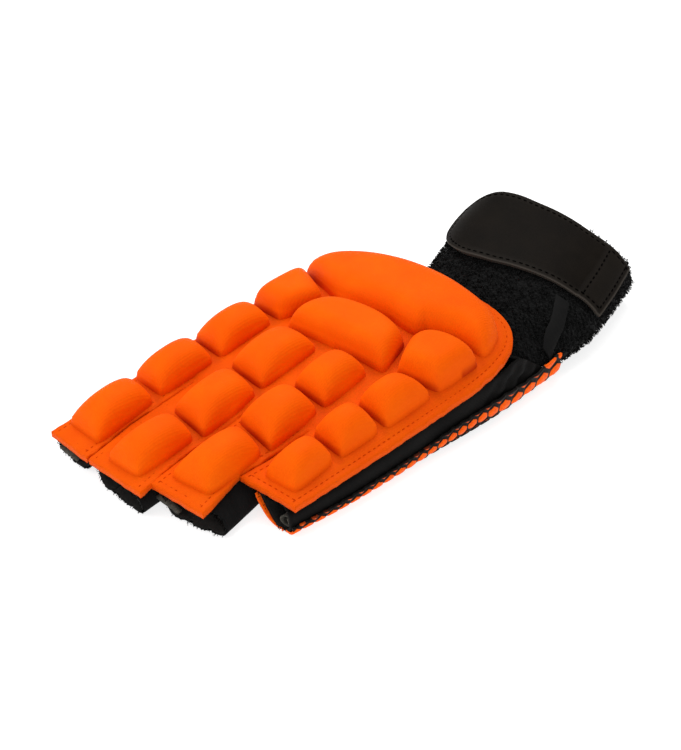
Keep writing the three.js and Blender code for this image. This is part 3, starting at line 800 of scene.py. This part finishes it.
def add_pad(bm, name):
    """One pad as rings of a grid joined to itself, from its flank's foot to the middle of its crown."""
    sides = 220 if name == "rear" else 150 if len(PADS[name]) > 5 else 104
    mid = np.mean(PADS[name], axis=0)
    angles = 2 * np.pi * np.arange(sides + 1) / sides

    def spoke(r, angle):
        return mid[0] + r * np.cos(angle), mid[1] + r * np.sin(angle)

    def reach(depth):
        """How far out each spoke lies that deep inside the outline."""
        near, far = np.zeros(sides + 1), np.full(sides + 1, 60.0)
        for _ in range(24):
            r = (near + far) / 2
            inside = pad_depth(name, *spoke(r, angles)) > depth
            near, far = np.where(inside, r, near), np.where(inside, far, r)
        return near

    shoulders = PAD_SHOULDERS[:8] if name.startswith("little") else PAD_SHOULDERS
    radii = [reach(depth) for depth in [depth for depth, _ in PAD_FLANK] + shoulders]
    radii = np.array(radii + [radii[-1] * share for share in PAD_CROWN])
    flank = np.zeros(len(radii))
    flank[:len(PAD_FLANK)] = [rise for _, rise in PAD_FLANK]

    def place(u, v):
        k = np.rint(u * sides).astype(int)
        ring = np.rint(v * (len(radii) - 1)).astype(int)
        x, y = spoke(radii[ring, k], angles[k])
        # The flank climbs as far as the cushion above it starts
        start = pad_rise(name, *spoke(radii[len(PAD_FLANK), k], angles[k])) / PAD_FLANK_TOP
        climb = flank[ring] * np.where(flank[ring] > 0, start, 1)
        rise = np.where(ring < len(PAD_FLANK), climb, pad_rise(name, x, y))
        soft = wander(np.c_[x, y, 0 * x], 0.07, (0, 0, len(name)))
        return np.c_[x, y, underside(x, y) + FOAM + rise * (1 + 0.03 * soft)]

    made = weld(bm, new_grid(bm, sides, len(radii) - 1, place))
    face_away_from(bm, (mid[0], mid[1], -200), {face for corner in made for face in corner.link_faces})
    x, y, z = np.array([tuple(corner.co) for corner in made]).T
    above = z - underside(x, y) - FOAM
    # Painted shade up a pad's flank: between nearly touching pads over its first 5 mm, elsewhere over its
    # first 2 mm
    mark(made, bm.verts.layers.float["painted_crease_shade"], np.maximum(
        painted_crease_shade(x, y) * (1 - smoothstep(above, 0, 5)), SHEET_SHADE * (1 - smoothstep(above, 0, 2))))


foam_back = make_foam_back()


def panel_normal(point):
    x, y = float(point[0]), float(point[1])
    step = 0.5
    dx = (underside(x + step, y) - underside(x - step, y)) / (2 * step)
    dy = (underside(x, y + step) - underside(x, y - step)) / (2 * step)
    return (-float(dx), -float(dy), 1.0)


def panel_seams():
    """Rows of stitches: across each finger end, down both sides of each finger, and round the hand."""
    bm = bmesh.new()

    def row(points):
        sew(bm, np.c_[points, sheet_heights(*points.T)[1] + 0.05], panel_normal, *PANEL_STITCH)

    for finger in FINGERS:
        left, right = np.array(finger["left"]), np.array(finger["right"])
        t = np.linspace(0.02, 0.98, 60)
        for edge, other in ((left, right), (right, left)):
            side = on_path(edge, t)
            row(side + unit(on_path(other, t) - side) * SEAM_INSET)
        towards = unit(left[1] - left[0] + right[1] - right[0])
        share = np.linspace(0.08, 0.92, 30)[:, None]
        row(left[0] + (right[0] - left[0]) * share + towards * SEAM_INSET)
    rim = on_path(HAND_RIM, np.linspace(0, 1, 400))
    tangent = unit(np.gradient(rim, axis=0))
    row(rim + np.c_[-tangent[:, 1], tangent[:, 0]] * SEAM_INSET)
    bmesh.ops.recalc_face_normals(bm, faces=bm.faces)
    return new_piece("back_stitching", bm, [DARK_ORANGE_THREAD])


panel_seams()


# The little-finger side

FOLD_FRONT = -64.5
FOLD_REAR = 80
# The print's outer row of cells: y, height of its middle up the fold, and spacing of its cells
GRIP_ROW = np.array([
    (-64.5, 1.9, 5.7),
    (-40, 2.3, 5.6),
    (-5, 3.8, 5.8),
    (16, 5.6, 5.2),
    (32, 7.0, 5.8),
    (48, 5.6, 7.6),
    (72, 5.6, 8.4),
    (80, 6.0, 8.4),
])
FIRST_CELL = -57.0
PALM_CELL = 5.6


def side_point(y, angle, inset):
    """The hand's rounded side: -90 degrees is its foot, 0 its widest place and 90 its top."""
    turn = np.radians(along(SIDE, 2, y))
    out, level = rounded(angle, HAND_SQUARE)
    back = HAND_CAP - (HAND_CAP - inset) * out
    px, py = along(SIDE, 1, y) - back * np.cos(turn), y - back * np.sin(turn)
    roof = underside(px, py) - GAP
    return np.stack([px, py, height_at(level, inset, roof / 2, roof - inset)], -1)


def side_at_height(y, height, inset):
    """The point of the hand's side at a height, followed up from its foot."""
    profile = side_point(*np.broadcast_arrays(y[:, None], np.linspace(-90, 80, 120)), inset)
    height = np.clip(height, profile[:, 0, 2], profile[:, -1, 2])
    return np.array([[np.interp(h, line[:, 2], line[:, k]) for k in range(3)]
                     for h, line in zip(height, profile)])


HEEL_NORMAL = (HEEL[1] - HEEL[0]).cross(HEEL[2] - HEEL[0]).normalized()
if HEEL_NORMAL.y < 0:
    HEEL_NORMAL.negate()


def behind_heel(points):
    return (points - np.array(HEEL[0])) @ np.array(HEEL_NORMAL)


def grip_cells(y, height):
    """Place in the print, in cells: along the hand, and up from the outer row's middle."""
    ys = np.linspace(FOLD_FRONT - 1, FOLD_REAR + 1, 400)
    count = np.r_[0, np.cumsum(np.diff(ys) / along(GRIP_ROW, 2, ys)[1:])]
    from_first = np.interp(y, ys, count) - np.interp(FIRST_CELL, ys, count)
    up = (height - along(GRIP_ROW, 1, y)) / along(GRIP_ROW, 2, y)
    return np.stack([from_first + 0.5, up + CELL_ROWS], -1)


def from_cell_middle(cells):
    """Distance from the nearest cell's middle, 0.5 half way to the next cell."""
    step = np.array([1.0, 2 * CELL_ROWS])
    near = []
    for start in (0.0, 0.5):
        q = np.abs(np.mod(cells + start * step, step) - step / 2)
        near.append(np.maximum(q[..., 0] * 0.5 + q[..., 1] * CELL_ROWS, q[..., 0]))
    return np.minimum(*near)


def fold_y(v):
    return FOLD_FRONT + (FOLD_REAR - FOLD_FRONT) * v


def make_honeycomb_fold():
    """The palm cloth where it folds up along the little-finger side and its honeycomb shows."""
    def fold_height(y):
        return along(SIDE, 3, y) + 1.8 * smoothstep(y, 0, 20) * (1 - smoothstep(y, 44, 62))

    def cells(u, v):
        return grip_cells(fold_y(v), u * fold_height(fold_y(v)))

    def fold(u, v):
        proud = 0.55 * (1 - smoothstep(from_cell_middle(cells(u, v)), 0.28, 0.46))
        return side_at_height(fold_y(v), u * fold_height(fold_y(v)), 0.3) + np.c_[proud, 0 * u, 0 * u]

    bm = lone_grid(18, 460, fold, (0, 0, 8), cells)
    # Only the outer row of cells is left open: the print closes above and below it
    layer = bm.loops.layers.uv.verify()
    from_row = np.array([abs(corner.link_loops[0][layer].uv.y - CELL_ROWS) for corner in bm.verts])
    from_row *= 1 - 0.7 * smoothstep(np.array([corner.co.y for corner in bm.verts]), 66, 73)
    mark(bm.verts, bm.verts.layers.float.new("ink"), smoothstep(from_row, 0.42, 0.56))
    return new_piece("honeycomb_fold", bm, [GRIP, SLEEVE_OUT], wall=PALM_CLOTH)


def make_grip_palm():
    """Palm cloth: flat under the hand, cut out between the fingers and along the foot of the folded edge."""
    bm = bmesh.new()
    foot = side_point(np.linspace(FOLD_FRONT, FOLD_REAR, 24), np.full(24, -90.0), 0.0)
    outline = PALM + [(p[0] + 0.3, p[1]) for p in foot] + PALM_REST
    face = bm.faces.new([bm.verts.new((x, y, 0.0)) for x, y in outline])
    face.normal_update()
    if face.normal.z > 0:
        face.normal_flip()
    layer = bm.loops.layers.uv.verify()
    for loop in face.loops:
        loop[layer].uv = (loop.vert.co.y / PALM_CELL, loop.vert.co.x / PALM_CELL)
    bmesh.ops.triangulate(bm, faces=[face])
    return new_piece("grip_palm", bm, [GRIP, SLEEVE_OUT], ["palm_panel"], wall=PALM_CLOTH)


honeycomb_fold = make_honeycomb_fold()
grip_palm = make_grip_palm()


def make_little_side():
    """Stretch cloth between the folded-up palm and the back, gathered in folds where it meets the cuff."""
    inset = PALM_CLOTH + GAP

    def gusset(u, v):
        y = fold_y(v)
        fold = along(SIDE, 3, y)
        top = side_point(y, np.full(len(y), 78.0), inset)[:, 2]
        points = side_at_height(y, fold - 4 + (top - fold + 4) * u, inset)
        # The rear edge stops at the cuff's slanted front
        points[:, 1] -= np.maximum(behind_heel(points) + GAP, 0) / HEEL_NORMAL.y
        # Soft folds near the heel and a slight hollow between the seams
        y, z = points[:, 1], points[:, 2]
        ripple = np.sin(y * 0.62 - z * 0.5) * 0.7 + np.sin(y * 0.37 + z * 0.8) * 0.5
        inward = ((ripple - 0.9) * smoothstep(y, 22, 58) - 0.5) * np.sin(np.pi * u)
        points[:, 0] += np.minimum(inward, 0)
        return points

    bm = lone_grid(22, 180, gusset, (0, 0, 8))
    return new_piece("little_side_gusset", bm, [STRETCH], ["outer_gusset"],
                     wall=GUSSET_CLOTH)


little_side = make_little_side()


def make_thumb_side():
    """The same cloth along the index side, hollowed a little between its seams."""
    low = PALM_CLOTH + GAP

    def gusset(u, v):
        y = THUMB_SIDE_FRONT + THUMB_SIDE_LONG * v
        out, level = rounded(-90 + 168 * u, HAND_SQUARE)
        x = THUMB_SIDE_X + HAND_CAP * (1 - out)
        roof = underside(x, y) - GAP
        sag = 0.5 * np.sin(np.pi * u) * (1 + 0.4 * np.sin(y * 0.35))
        return np.c_[x + sag, y, height_at(level, low, (low + roof) / 2, roof)]

    bm = lone_grid(20, 48, gusset, (0, -20, 10))
    return new_piece("thumb_side_gusset", bm, [STRETCH], ["thumb_gusset"], wall=GUSSET_CLOTH)


thumb_side = make_thumb_side()


# Sleeves


def ring_place(q, ends, leans, high, cap, low, inset=0.0):
    """A point of a sleeve's cross-section: q runs round it from the foot of its left side."""
    lx, ly, rx, ry = ends
    half = np.hypot(rx - lx, ry - ly) / 2
    cap = np.minimum(cap, half)
    q = np.mod(q, 1.0)
    part = np.minimum((q * 4).astype(int), 3)
    t = q * 4 - part
    angle = np.select([part == 1, part == 2, part == 3], [-90 + 180 * t, 90, 90 - 180 * t], -90)
    out, level = rounded(angle, FINGER_SQUARE)
    across, side = (half - cap) * (2 * t - 1), half - cap + (cap - inset) * out
    s = (np.select([part == 0, part == 1, part == 2], [across, side, -across], -side) / half + 1) / 2
    x, y = lx + (rx - lx) * s, ly + (ry - ly) * s
    roof = high if high is not None else underside(x, y) - GAP
    z = height_at(level, low + inset, (low + roof) / 2, roof - inset)
    lean = leans[0] * (1 - s) + leans[1] * s
    return np.c_[x + lean * (roof - z) / (roof - low), y, z]


def sleeve_place(name, q, v, inset=0.0):
    *ends, left_lean, right_lean = between(SLEEVES[name], v)
    return ring_place(q, ends, (left_lean, right_lean), None, FINGER_CAP, PALM_CLOTH + GAP, inset)


def ragged(q, scale, seed):
    return wander(np.c_[q, 0 * q, 0 * q], scale, (0, seed, 0))


def make_sleeve(name):
    """A half-finger sleeve of black knit with a grey brushed inner face, its cut end frayed and uneven."""
    def place(u, v):
        points = sleeve_place(name, u, v)
        cut = ragged(u, 17, len(name) * 3.1) + 0.5 * ragged(u, 61, 9)
        points[:, 1] += (1 - smoothstep(v, 0, 0.12)) * cut * 1.3
        points[:, 2] -= np.abs(wander(points, 0.16)) * 0.25 * np.sin(np.pi * v)
        return points

    bm = lone_grid(96, 44, place, tube=True)
    return new_piece(f"{name}_finger_sleeve", bm, [SLEEVE_OUT, SLEEVE_IN], [f"{name}_sleeve"],
                     wall=SLEEVE_CLOTH)


SLEEVE_FLAT = {"index": (0.055, 0.0595), "middle": (0.07, 0.0597), "ring": (0.066, 0.049),
               "little": (0.058, 0.023)}
for name, flat in SLEEVE_FLAT.items():
    make_sleeve(name)


def make_palm_lap():
    """The palm cloth lapped round the lower corner of the little finger's cut end, its orange face out."""
    def lap(u, v):
        points = sleeve_place("little", 0.845 + 0.275 * u, 0.2 * v, -0.75)
        points[:, 1] -= (1 - v) * (0.7 + 0.5 * np.sin(u * 9))
        points[:, 2] = np.maximum(points[:, 2], 0.95)
        return points

    # Its whole map lies in the middle of one cell
    bm = lone_grid(26, 8, lap, (40, -60, 6), lambda u, v: np.full((len(u), 2), (0.5, CELL_ROWS)))
    return new_piece("little_finger_palm_lap", bm, [GRIP], wall=0.7)


def roll_lining(name, start, end, radius):
    """The lining's cut edge curled up into a roll from one point to another."""
    bm = bmesh.new()
    start, end = np.array(start, float), np.array(end, float)
    axis = unit(end - start)
    side = unit(np.cross(axis, (0, 0, 1)))
    up = np.cross(side, axis)

    def roll(u, v):
        turn = 0.4 + 7.2 * u
        r = radius * (1 - 0.45 * u) * (1 + 0.12 * np.sin(v * 9 + turn))
        middle = start + (end - start) * v[:, None] + axis * (0.3 * np.sin(turn * 1.7))[:, None]
        return middle + side * (r * np.cos(turn))[:, None] + up * (r * np.sin(turn))[:, None]

    new_grid(bm, 40, 16, roll)
    return new_piece(name, bm, [LINING_EDGE], wall=0.5)


little_finger_palm_lap = make_palm_lap()
for name, start, end, radius, sleeve in (
    ("little_finger_rolled_lining", (44.2, -64.4, 5.0), (42.2, -54.4, 5.2), 2.5, "little"),
    ("ring_finger_rolled_lining", (2.8, -92.2, 6.0), (13, -89.8, 3.2), 1.05, "ring"),
    ("index_finger_rolled_lining", (-48, -102, 2.9), (-37, -101.2, 2.6), 1.0, "index"),
):
    roll_lining(name, start, end, radius)


def make_thumb_sleeve():
    def place(u, v):
        *ends, high = between(THUMB, v)
        points = ring_place(u, ends, (0.0, 0.0), high, THUMB_CAP, 0.0)
        points[:, 0] -= smoothstep(v, 0.86, 1) * ragged(u, 14, 5.2) * 0.9
        return points

    bm = lone_grid(120, 40, place, (-44, 22, 7), tube=True)
    return new_piece("thumb_half_sleeve", bm, [SLEEVE_OUT, SLEEVE_IN], ["thumb_sleeve"],
                     wall=SLEEVE_CLOTH)


thumb_half_sleeve = make_thumb_sleeve()


def fray(seed):
    """Loose thread ends standing out of the cut ends of the sleeves."""
    rng = random.Random(seed)
    lines = []
    for name in SLEEVES:
        for _ in range(90 if name == "little" else 150):
            q = rng.random()
            line = [sleeve_place(name, np.array([q]), np.array([0.01]), rng.uniform(0.1, 0.9))[0]]
            aim = np.array([rng.uniform(-0.7, 0.7), -1, rng.uniform(-0.7, 0.35)])
            length = rng.uniform(0.6, 2.0)
            for _ in range(3):
                aim = aim + np.array([rng.uniform(-0.6, 0.6), 0.15, rng.uniform(-0.6, 0.5)])
                line.append(line[-1] + unit(aim) * length / 3)
            line = np.array(line)
            line[:, 2] = np.maximum(line[:, 2], 0.3)
            lines.append(line)
    return thread_piece("frayed_sleeve_ends", lines, 0.11, BLACK_THREAD)


fray(11)


# The cuff

CUFF_ROUND = 300
CUFF_ALONG = 110
PLACES = 22  # corners of the cuff's cross-section


def cuff_point(section, place, lift=0.0):
    """A place on the cuff, lifted off it: a soft curve through the corners of its cross-section.

    Places run round it: 2 is the foot of the little-finger side, 6 its widest point, 10 to 13 the top, 17 the
    thumb side's widest point and 21 its foot.
    """
    section, place, lift = np.broadcast_arrays(np.asarray(section, float), np.asarray(place, float), lift)
    corner = np.rint(place)
    t = (place - corner)[..., None]
    before, at, after = (cuff_corner(section, np.mod(corner + k, PLACES), lift) for k in (-1, 0, 1))
    return 0.5 * (0.5 - t) ** 2 * before + (0.75 - t * t) * at + 0.5 * (0.5 + t) ** 2 * after


def cuff_corner(section, place, lift):
    # Past its first and last rows the cuff goes straight on
    beyond = np.where(section > 4, section - 4, np.minimum(section, 0))
    last, first = CUFF[4] - CUFF[3], CUFF[1] - CUFF[0]
    lx, ly, rx, ry, high = (np.interp(section, range(len(CUFF)), CUFF[:, k])
                            + beyond * np.where(beyond > 0, last[k], first[k]) for k in range(5))
    half = np.hypot(rx - lx, ry - ly) / 2
    tight = np.minimum(1, 2 * half / (CROWN_LEFT + CROWN_RIGHT + 1))
    crown_right, crown_left = CROWN_RIGHT * tight, CROWN_LEFT * tight
    p = np.where(place < 2, place + PLACES, place)
    right_side, top, left_side = p <= 10, (p > 10) & (p < 13), (p >= 13) & (p <= 21)
    angle = np.select([right_side, top, left_side], [-90 + (p - 2) * 22.5, 90.0, 90 - (p - 13) * 22.5], -90.0)
    out, level = rounded(angle, CUFF_SQUARE)
    reach_right = np.where(angle > 0, crown_right, CUFF_CAP)
    reach_left = np.where(angle > 0, crown_left, CUFF_CAP)
    from_right, to_left = half - crown_right, crown_left - half
    u = np.select(
        [right_side, top, left_side],
        [half - reach_right + (reach_right + lift) * out, from_right + (to_left - from_right) * (p - 10) / 3,
         -(half - reach_left + (reach_left + lift) * out)],
        (CUFF_CAP - half) + 2 * (half - CUFF_CAP) * (p - 21) / 3)
    z = height_at(level, -lift, high * CUFF_WAIST, high + lift)
    s = (u / half + 1) / 2
    return np.stack([lx + (rx - lx) * s, ly + (ry - ly) * s, z], -1)


def cuff_normals(section, place):
    step = 0.02
    along_it = cuff_point(section + step, place) - cuff_point(section - step, place)
    round_it = cuff_point(section, place + step) - cuff_point(section, place - step)
    return unit(np.cross(round_it, along_it))


def round_cuff(section, count):
    """Places spaced evenly round the cuff, from the little-finger side's foot right round to it again."""
    dense = np.linspace(2, 2 + PLACES, 1200)
    run = runs(cuff_point(section, dense))
    return np.interp(np.linspace(0, run[-1], count + 1), run, dense)


def cuff_start(place):
    """Where along the cuff its slanted front crosses each place."""
    sections = np.linspace(0, 2.6, 260)
    behind = behind_heel(cuff_point(sections[None, :], place[:, None])) >= 0
    return np.where(behind[:, 0], 0.0, sections[np.argmax(behind, axis=1)])


cuff_places = round_cuff(2.5, CUFF_ROUND)
cuff_front = cuff_start(cuff_places)


def make_cuff():
    """Terry tube, open at both ends, whose face is broken up by the pile."""
    def place(u, v):
        k = np.rint(u * CUFF_ROUND).astype(int)
        section = cuff_front[k] + (4 - cuff_front[k]) * v
        points = cuff_point(section, cuff_places[k])
        pile = wander(points, 0.8) + 0.5 * wander(points, 1.7)
        proud = pile * 0.32 + wander(points, 0.09) * 0.35 - 0.25
        points = points + outward(cuff_normals(section, cuff_places[k]), points, CUFF_CORE) * proud[:, None]
        points[:, 2] = np.maximum(points[:, 2], 0.02)
        return points

    bm = lone_grid(CUFF_ROUND, CUFF_ALONG, place, CUFF_CORE, tube=True)
    return new_piece("terry_cuff", bm, [TERRY_LOOPS], ["wrist_cuff"], wall=TERRY - 0.4)


terry_cuff = make_cuff()


def make_pile(seed, count):
    """Loops of the terry's pile, few of them on its underside."""
    rng = random.Random(seed)
    lines = []
    run = np.linspace(0, 1, len(cuff_places))
    while len(lines) < count:
        u, v = rng.random(), rng.random()
        place = np.interp(u, run, cuff_places)
        start = np.interp(u, run, cuff_front)
        if 20.6 < place < 24 and rng.random() < 0.85:
            continue
        section = start + (4.02 - start) * v
        foot = cuff_point(section, place)
        normal = outward(cuff_normals(section, place), foot, CUFF_CORE)
        lean = np.array([rng.uniform(-1, 1) for _ in range(3)])
        side = unit(np.cross(normal, lean))
        tall, wide = rng.uniform(0.5, 1.05), rng.uniform(0.25, 0.45)
        crown = foot + normal * tall + lean * 0.25
        line = np.array([foot - side * wide - normal * 0.4, crown - side * wide * 0.7,
                         crown + side * wide * 0.7, foot + side * wide - normal * 0.4])
        line[:, 2] = np.maximum(line[:, 2], 0.2)
        lines.append(line)
    return thread_piece("terry_pile", lines, 0.17, TERRY_LOOPS)


terry_pile = make_pile(5, 6000)


def make_side_tape():
    """The tape lies on the terry, its middle line as TAPE gives it, a little plump across."""
    lift = 0.7 + TAPE_THICK

    def place(u, v):
        section, middle = between(TAPE, v)
        # Across the tape is round the cuff
        one = cuff_point(section, middle - 0.5, lift) - cuff_point(section, middle + 0.5, lift)
        across = (u - 0.5) * TAPE_WIDTH / np.linalg.norm(one, axis=-1)
        return cuff_point(section, middle + across, lift - 0.35 * (1 - np.sin(np.pi * u)))

    bm = lone_grid(10, 40, place, (0, 90, 10))
    return new_piece("cuff_side_band", bm, [TAPE_CLOTH], ["cuff_side_tape"],
                     wall=TAPE_THICK - 0.3, bevel=0.3)


side_band = make_side_tape()


# The strap

STRAP_REACH = 27  # how far its lines are worked out to each side of its middle line
STRAP_ACROSS = np.linspace(-STRAP_REACH, STRAP_REACH, 13)
STRAP_SEAM = 2.5  # from its edge to its row of stitches
STRAP_ROOT_SEAM = 2.2
STRAP_BOX_SEAM = 12  # from its root end to the far seam of the box sewn there
STRAP_SLANT = 2  # how far its root end leans along it
STRAP_HIGHLIGHT = 0.09  # strength of the painted highlight along its seams and over the box, with 1 on its edge, where the paler band is partly the edge's own colour
# How much further than half its width it reaches, from its free end on: towards the fingers, towards the rim
STRAP_SIDES = np.array([
    (0, 0, 0),
    (10, 1.8, 0),
    (20, 3.6, 0),
    (30, 2, 0.5),
    (40, -0.7, 0.8),
    (50, -2.4, 0),
    (60, -3.8, -1.2),
    (70, -4.6, -1.5),
    (80, -5.8, -1.8),
    (90, -7.2, -2),
])


def strap_middle(place):
    """How far along the cuff its middle line lies."""
    return 2.93 + 0.12 * (place - STRAP_ROOT) / (STRAP_FREE - STRAP_ROOT)


def strap_lift(place):
    """Height of its upper face: clear of the hook tape at its free end, then down on the terry."""
    return 2.4 + (0.9 - 2.4) * smoothstep(STRAP_FREE - place, 0.5, 7) + STRAP_THICK


strap_dense = np.linspace(STRAP_FREE, STRAP_ROOT, 400)
strap_line = cuff_point(strap_middle(strap_dense), strap_dense, strap_lift(strap_dense))
strap_run = runs(strap_line)
STRAP_LENGTH = float(strap_run[-1])


def strap_lines():
    """The strap's upper face as lines along it; its stiffness takes the corners out of the cuff below."""
    place = np.interp(np.linspace(0, STRAP_LENGTH, 161), strap_run, strap_dense)
    middle, lift = strap_middle(place), strap_lift(place)
    # Across the strap is along the cuff
    one = cuff_point(middle - 0.5, place, lift) - cuff_point(middle + 0.5, place, lift)
    steps = STRAP_ACROSS[:, None] / np.linalg.norm(one, axis=-1)
    lines = np.stack([cuff_point(middle + step, place, lift) for step in steps], 1)
    reach = 14
    weights = np.exp(-((np.arange(-reach, reach + 1) / 6.0) ** 2) / 2)
    weights /= weights.sum()
    before = 2 * lines[:1] - lines[reach:0:-1]
    after = 2 * lines[-1:] - lines[-2:-reach - 2:-1]
    padded = np.concatenate([before, lines, after])
    return sum(w * padded[k:k + len(lines)] for k, w in enumerate(weights))


STRAP_LINES = strap_lines()


def strap_half(run, inset=0.0):
    """Half its width, less near its rounded free end."""
    cut = np.maximum(STRAP_CORNER - run, 0)
    return STRAP_WIDTH / 2 - STRAP_CORNER + np.sqrt(np.maximum((STRAP_CORNER - inset) ** 2 - cut ** 2, 0))


def strap_across(run, share, inset=0.0):
    """Across the strap: share 0 is its edge towards the fingers, 1 its edge towards the rim."""
    half = strap_half(run, inset)
    front, rear = half + along(STRAP_SIDES, 1, run), half + along(STRAP_SIDES, 2, run)
    return -front + (front + rear) * share


def on_lines(run, across):
    rows, columns = STRAP_LINES.shape[:2]
    i = np.clip(run / STRAP_LENGTH * (rows - 1), 0, rows - 1.001)
    j = np.clip((across / STRAP_REACH + 1) / 2 * (columns - 1), 0, columns - 1.001)
    a, b = i.astype(int), j.astype(int)
    s, t = (i - a)[:, None], (j - b)[:, None]
    near = STRAP_LINES[a, b] * (1 - t) + STRAP_LINES[a, b + 1] * t
    far = STRAP_LINES[a + 1, b] * (1 - t) + STRAP_LINES[a + 1, b + 1] * t
    return near * (1 - s) + far * s


def strap_point(run, across, up=0.0):
    """A place on the strap: run from its free end, across from its middle line, up from its upper face."""
    here = on_lines(run, across)
    normals = unit(np.cross(on_lines(run + 0.6, across) - on_lines(run - 0.6, across),
                            on_lines(run, across + 0.6) - on_lines(run, across - 0.6)))
    return here + outward(normals, here, STRAP_CORE) * np.broadcast_to(up, run.shape)[:, None]


def strap_normal(point):
    place = strap_dense[np.argmin(np.linalg.norm(strap_line - np.asarray(point), axis=1))]
    return outward(cuff_normals(3.0, place), np.asarray(point), STRAP_CORE)


def make_strap():
    """Plump between its seams, and a layer thicker at its root, where the end is folded under and sewn."""
    def run_of(v):
        return STRAP_LENGTH * (0.25 * v * v + 0.75 * v)

    def place(u, v):
        slant = STRAP_SLANT * u * v * v
        run = run_of(v) - slant
        from_side = np.minimum(strap_half(run) * (1 - np.abs(2 * u - 1)), run + 0.6)
        from_end = STRAP_LENGTH - slant - run
        box = np.minimum(np.abs(from_end - STRAP_BOX_SEAM), np.abs(from_end - STRAP_ROOT_SEAM))
        up = 0.7 * (1 - smoothstep(from_end, 12.8, 13.8)) - 0.35 * (1 - smoothstep(from_side, 0, 0.9))
        up -= 0.4 * np.exp(-(((from_side - STRAP_SEAM) / 0.6) ** 2)) + 0.3 * np.exp(-((box / 0.6) ** 2))
        return strap_point(run, strap_across(run, u), up)

    bm = lone_grid(44, 96, place, STRAP_CORE)
    uv = bm.loops.layers.uv.verify()
    u, v = np.array([tuple(corner.link_loops[0][uv].uv) for corner in bm.verts]).T
    run = run_of(v)
    from_side = np.minimum(strap_half(run) * (1 - np.abs(2 * u - 1)), run)
    # Painted highlight, faint along the seams and over the root box, full on the cut edge
    painted_highlight = STRAP_HIGHLIGHT * np.maximum(1 - smoothstep(from_side, STRAP_SEAM, 5),
                                    smoothstep(run, STRAP_LENGTH - 13.8, STRAP_LENGTH - 12.8))
    rim = [corner.is_boundary for corner in bm.verts]
    mark(bm.verts, bm.verts.layers.float.new("edge"), np.where(rim, 1.0, painted_highlight))
    return new_piece("closing_strap", bm, [STRAP_SKIN], ["wrist_strap"], wall=STRAP_THICK - 0.1,
                     bevel=0.45)


closing_strap = make_strap()


def strap_seams():
    """One row along both sides and round the free end, and two rows across the box at the root."""
    bm = bmesh.new()
    run = np.r_[np.linspace(STRAP_SEAM, STRAP_CORNER, 60),
                np.linspace(STRAP_CORNER + 1, STRAP_LENGTH - STRAP_ROOT_SEAM, 60)]
    up = 0.7 * smoothstep(run, STRAP_LENGTH - 14.5, STRAP_LENGTH - 13.5) - 0.15
    rear, front = (strap_point(run, strap_across(run, share, STRAP_SEAM), up) for share in (1.0, 0.0))
    share = np.linspace(0.07, 0.93, 40)
    rows = [np.vstack([rear[::-1], front])]
    for seam in (STRAP_BOX_SEAM, STRAP_ROOT_SEAM):
        run = STRAP_LENGTH - seam - STRAP_SLANT * share
        rows.append(strap_point(run, strap_across(run, share), 0.5))
    for row in rows:
        sew(bm, row, strap_normal, *STRAP_STITCH)
    bmesh.ops.recalc_face_normals(bm, faces=bm.faces)
    return new_piece("strap_stitching", bm, [BLACK_THREAD])


strap_stitching = strap_seams()


def hook_point(u, v, down):
    """A place on the hook tape, down from the tips of its stubs."""
    return cuff_point(2.5 + 1.2 * u, 14.8 - 2.4 * v, 0.6 + HOOK_THICK - down)


def make_hooks():
    bm = lone_grid(24, 18, lambda u, v: hook_point(u, v, 0.5), STRAP_CORE)
    base = new_piece("hook_tape", bm, [HOOKS], ["hook_patch"], wall=HOOK_THICK - 0.6)
    # Each stub stands up and bends over at its tip
    stubs = [np.array([hook_point(u, v, 0.6), hook_point(u, v, 0), hook_point(u + 0.01, v, 0.15)])
             for u in (np.arange(30) + 0.5) / 30 for v in (np.arange(22) + 0.5) / 22]
    return base, thread_piece("hook_stubs", stubs, 0.12, HOOKS)


hook_tape, hook_stubs = make_hooks()


# Studio: a pale floor, soft light from above and both sides, and the photograph's camera

LIGHTS_AIM = Vector((0.0, -0.01, 0.02))
SOFTBOXES = (
    # Offset from the glove in metres, size in metres, power in watts
    ("overhead_softbox", (-0.3, 0.25, 0.9), 0.7, 7.0),
    ("front_left_softbox", (-0.4, -0.8, 0.5), 0.5, 3.4),
    ("right_softbox", (0.75, -0.35, 0.35), 0.5, 1.8),
)


def face_along(thing, direction):
    thing.rotation_euler = direction.to_track_quat("-Z", "Y").to_euler()


def studio():
    bm = bmesh.new()
    floor = bmesh.ops.create_grid(bm, x_segments=8, y_segments=8, size=3.0)["verts"]
    bmesh.ops.translate(bm, verts=floor, vec=(0, 0, -0.0002))
    mesh = bpy.data.meshes.new("studio_floor")
    bm.to_mesh(mesh)
    bm.free()
    mesh.materials.append(floor_paint())
    in_scene("studio_floor", mesh)

    world = bpy.data.worlds.new("studio_air")
    world.use_nodes = True
    background = world.node_tree.nodes["Background"].inputs
    background["Color"].default_value = (1, 1, 1, 1)
    background["Strength"].default_value = 0.5
    bpy.context.scene.world = world

    for name, offset, size, power in SOFTBOXES:
        light = bpy.data.lights.new(name, "AREA")
        light.size = size
        light.energy = power
        lamp = in_scene(name, light)
        lamp.location = LIGHTS_AIM + Vector(offset)
        face_along(lamp, -Vector(offset))


def camera():
    lens = bpy.data.cameras.new("photo_camera")
    lens.lens = 84
    lens.sensor_fit = "VERTICAL"
    lens.sensor_height = 36
    holder = in_scene("photo_camera", lens)
    away = Vector((math.sin(AZIMUTH) * math.cos(ELEVATION), -math.cos(AZIMUTH) * math.cos(ELEVATION),
                   math.sin(ELEVATION)))
    holder.location = TARGET + away * DISTANCE
    face_along(holder, -away)
    bpy.context.scene.camera = holder


studio()
camera()
# The photograph's saturated orange needs the plain display transform
bpy.context.scene.view_settings.view_transform = "Standard"
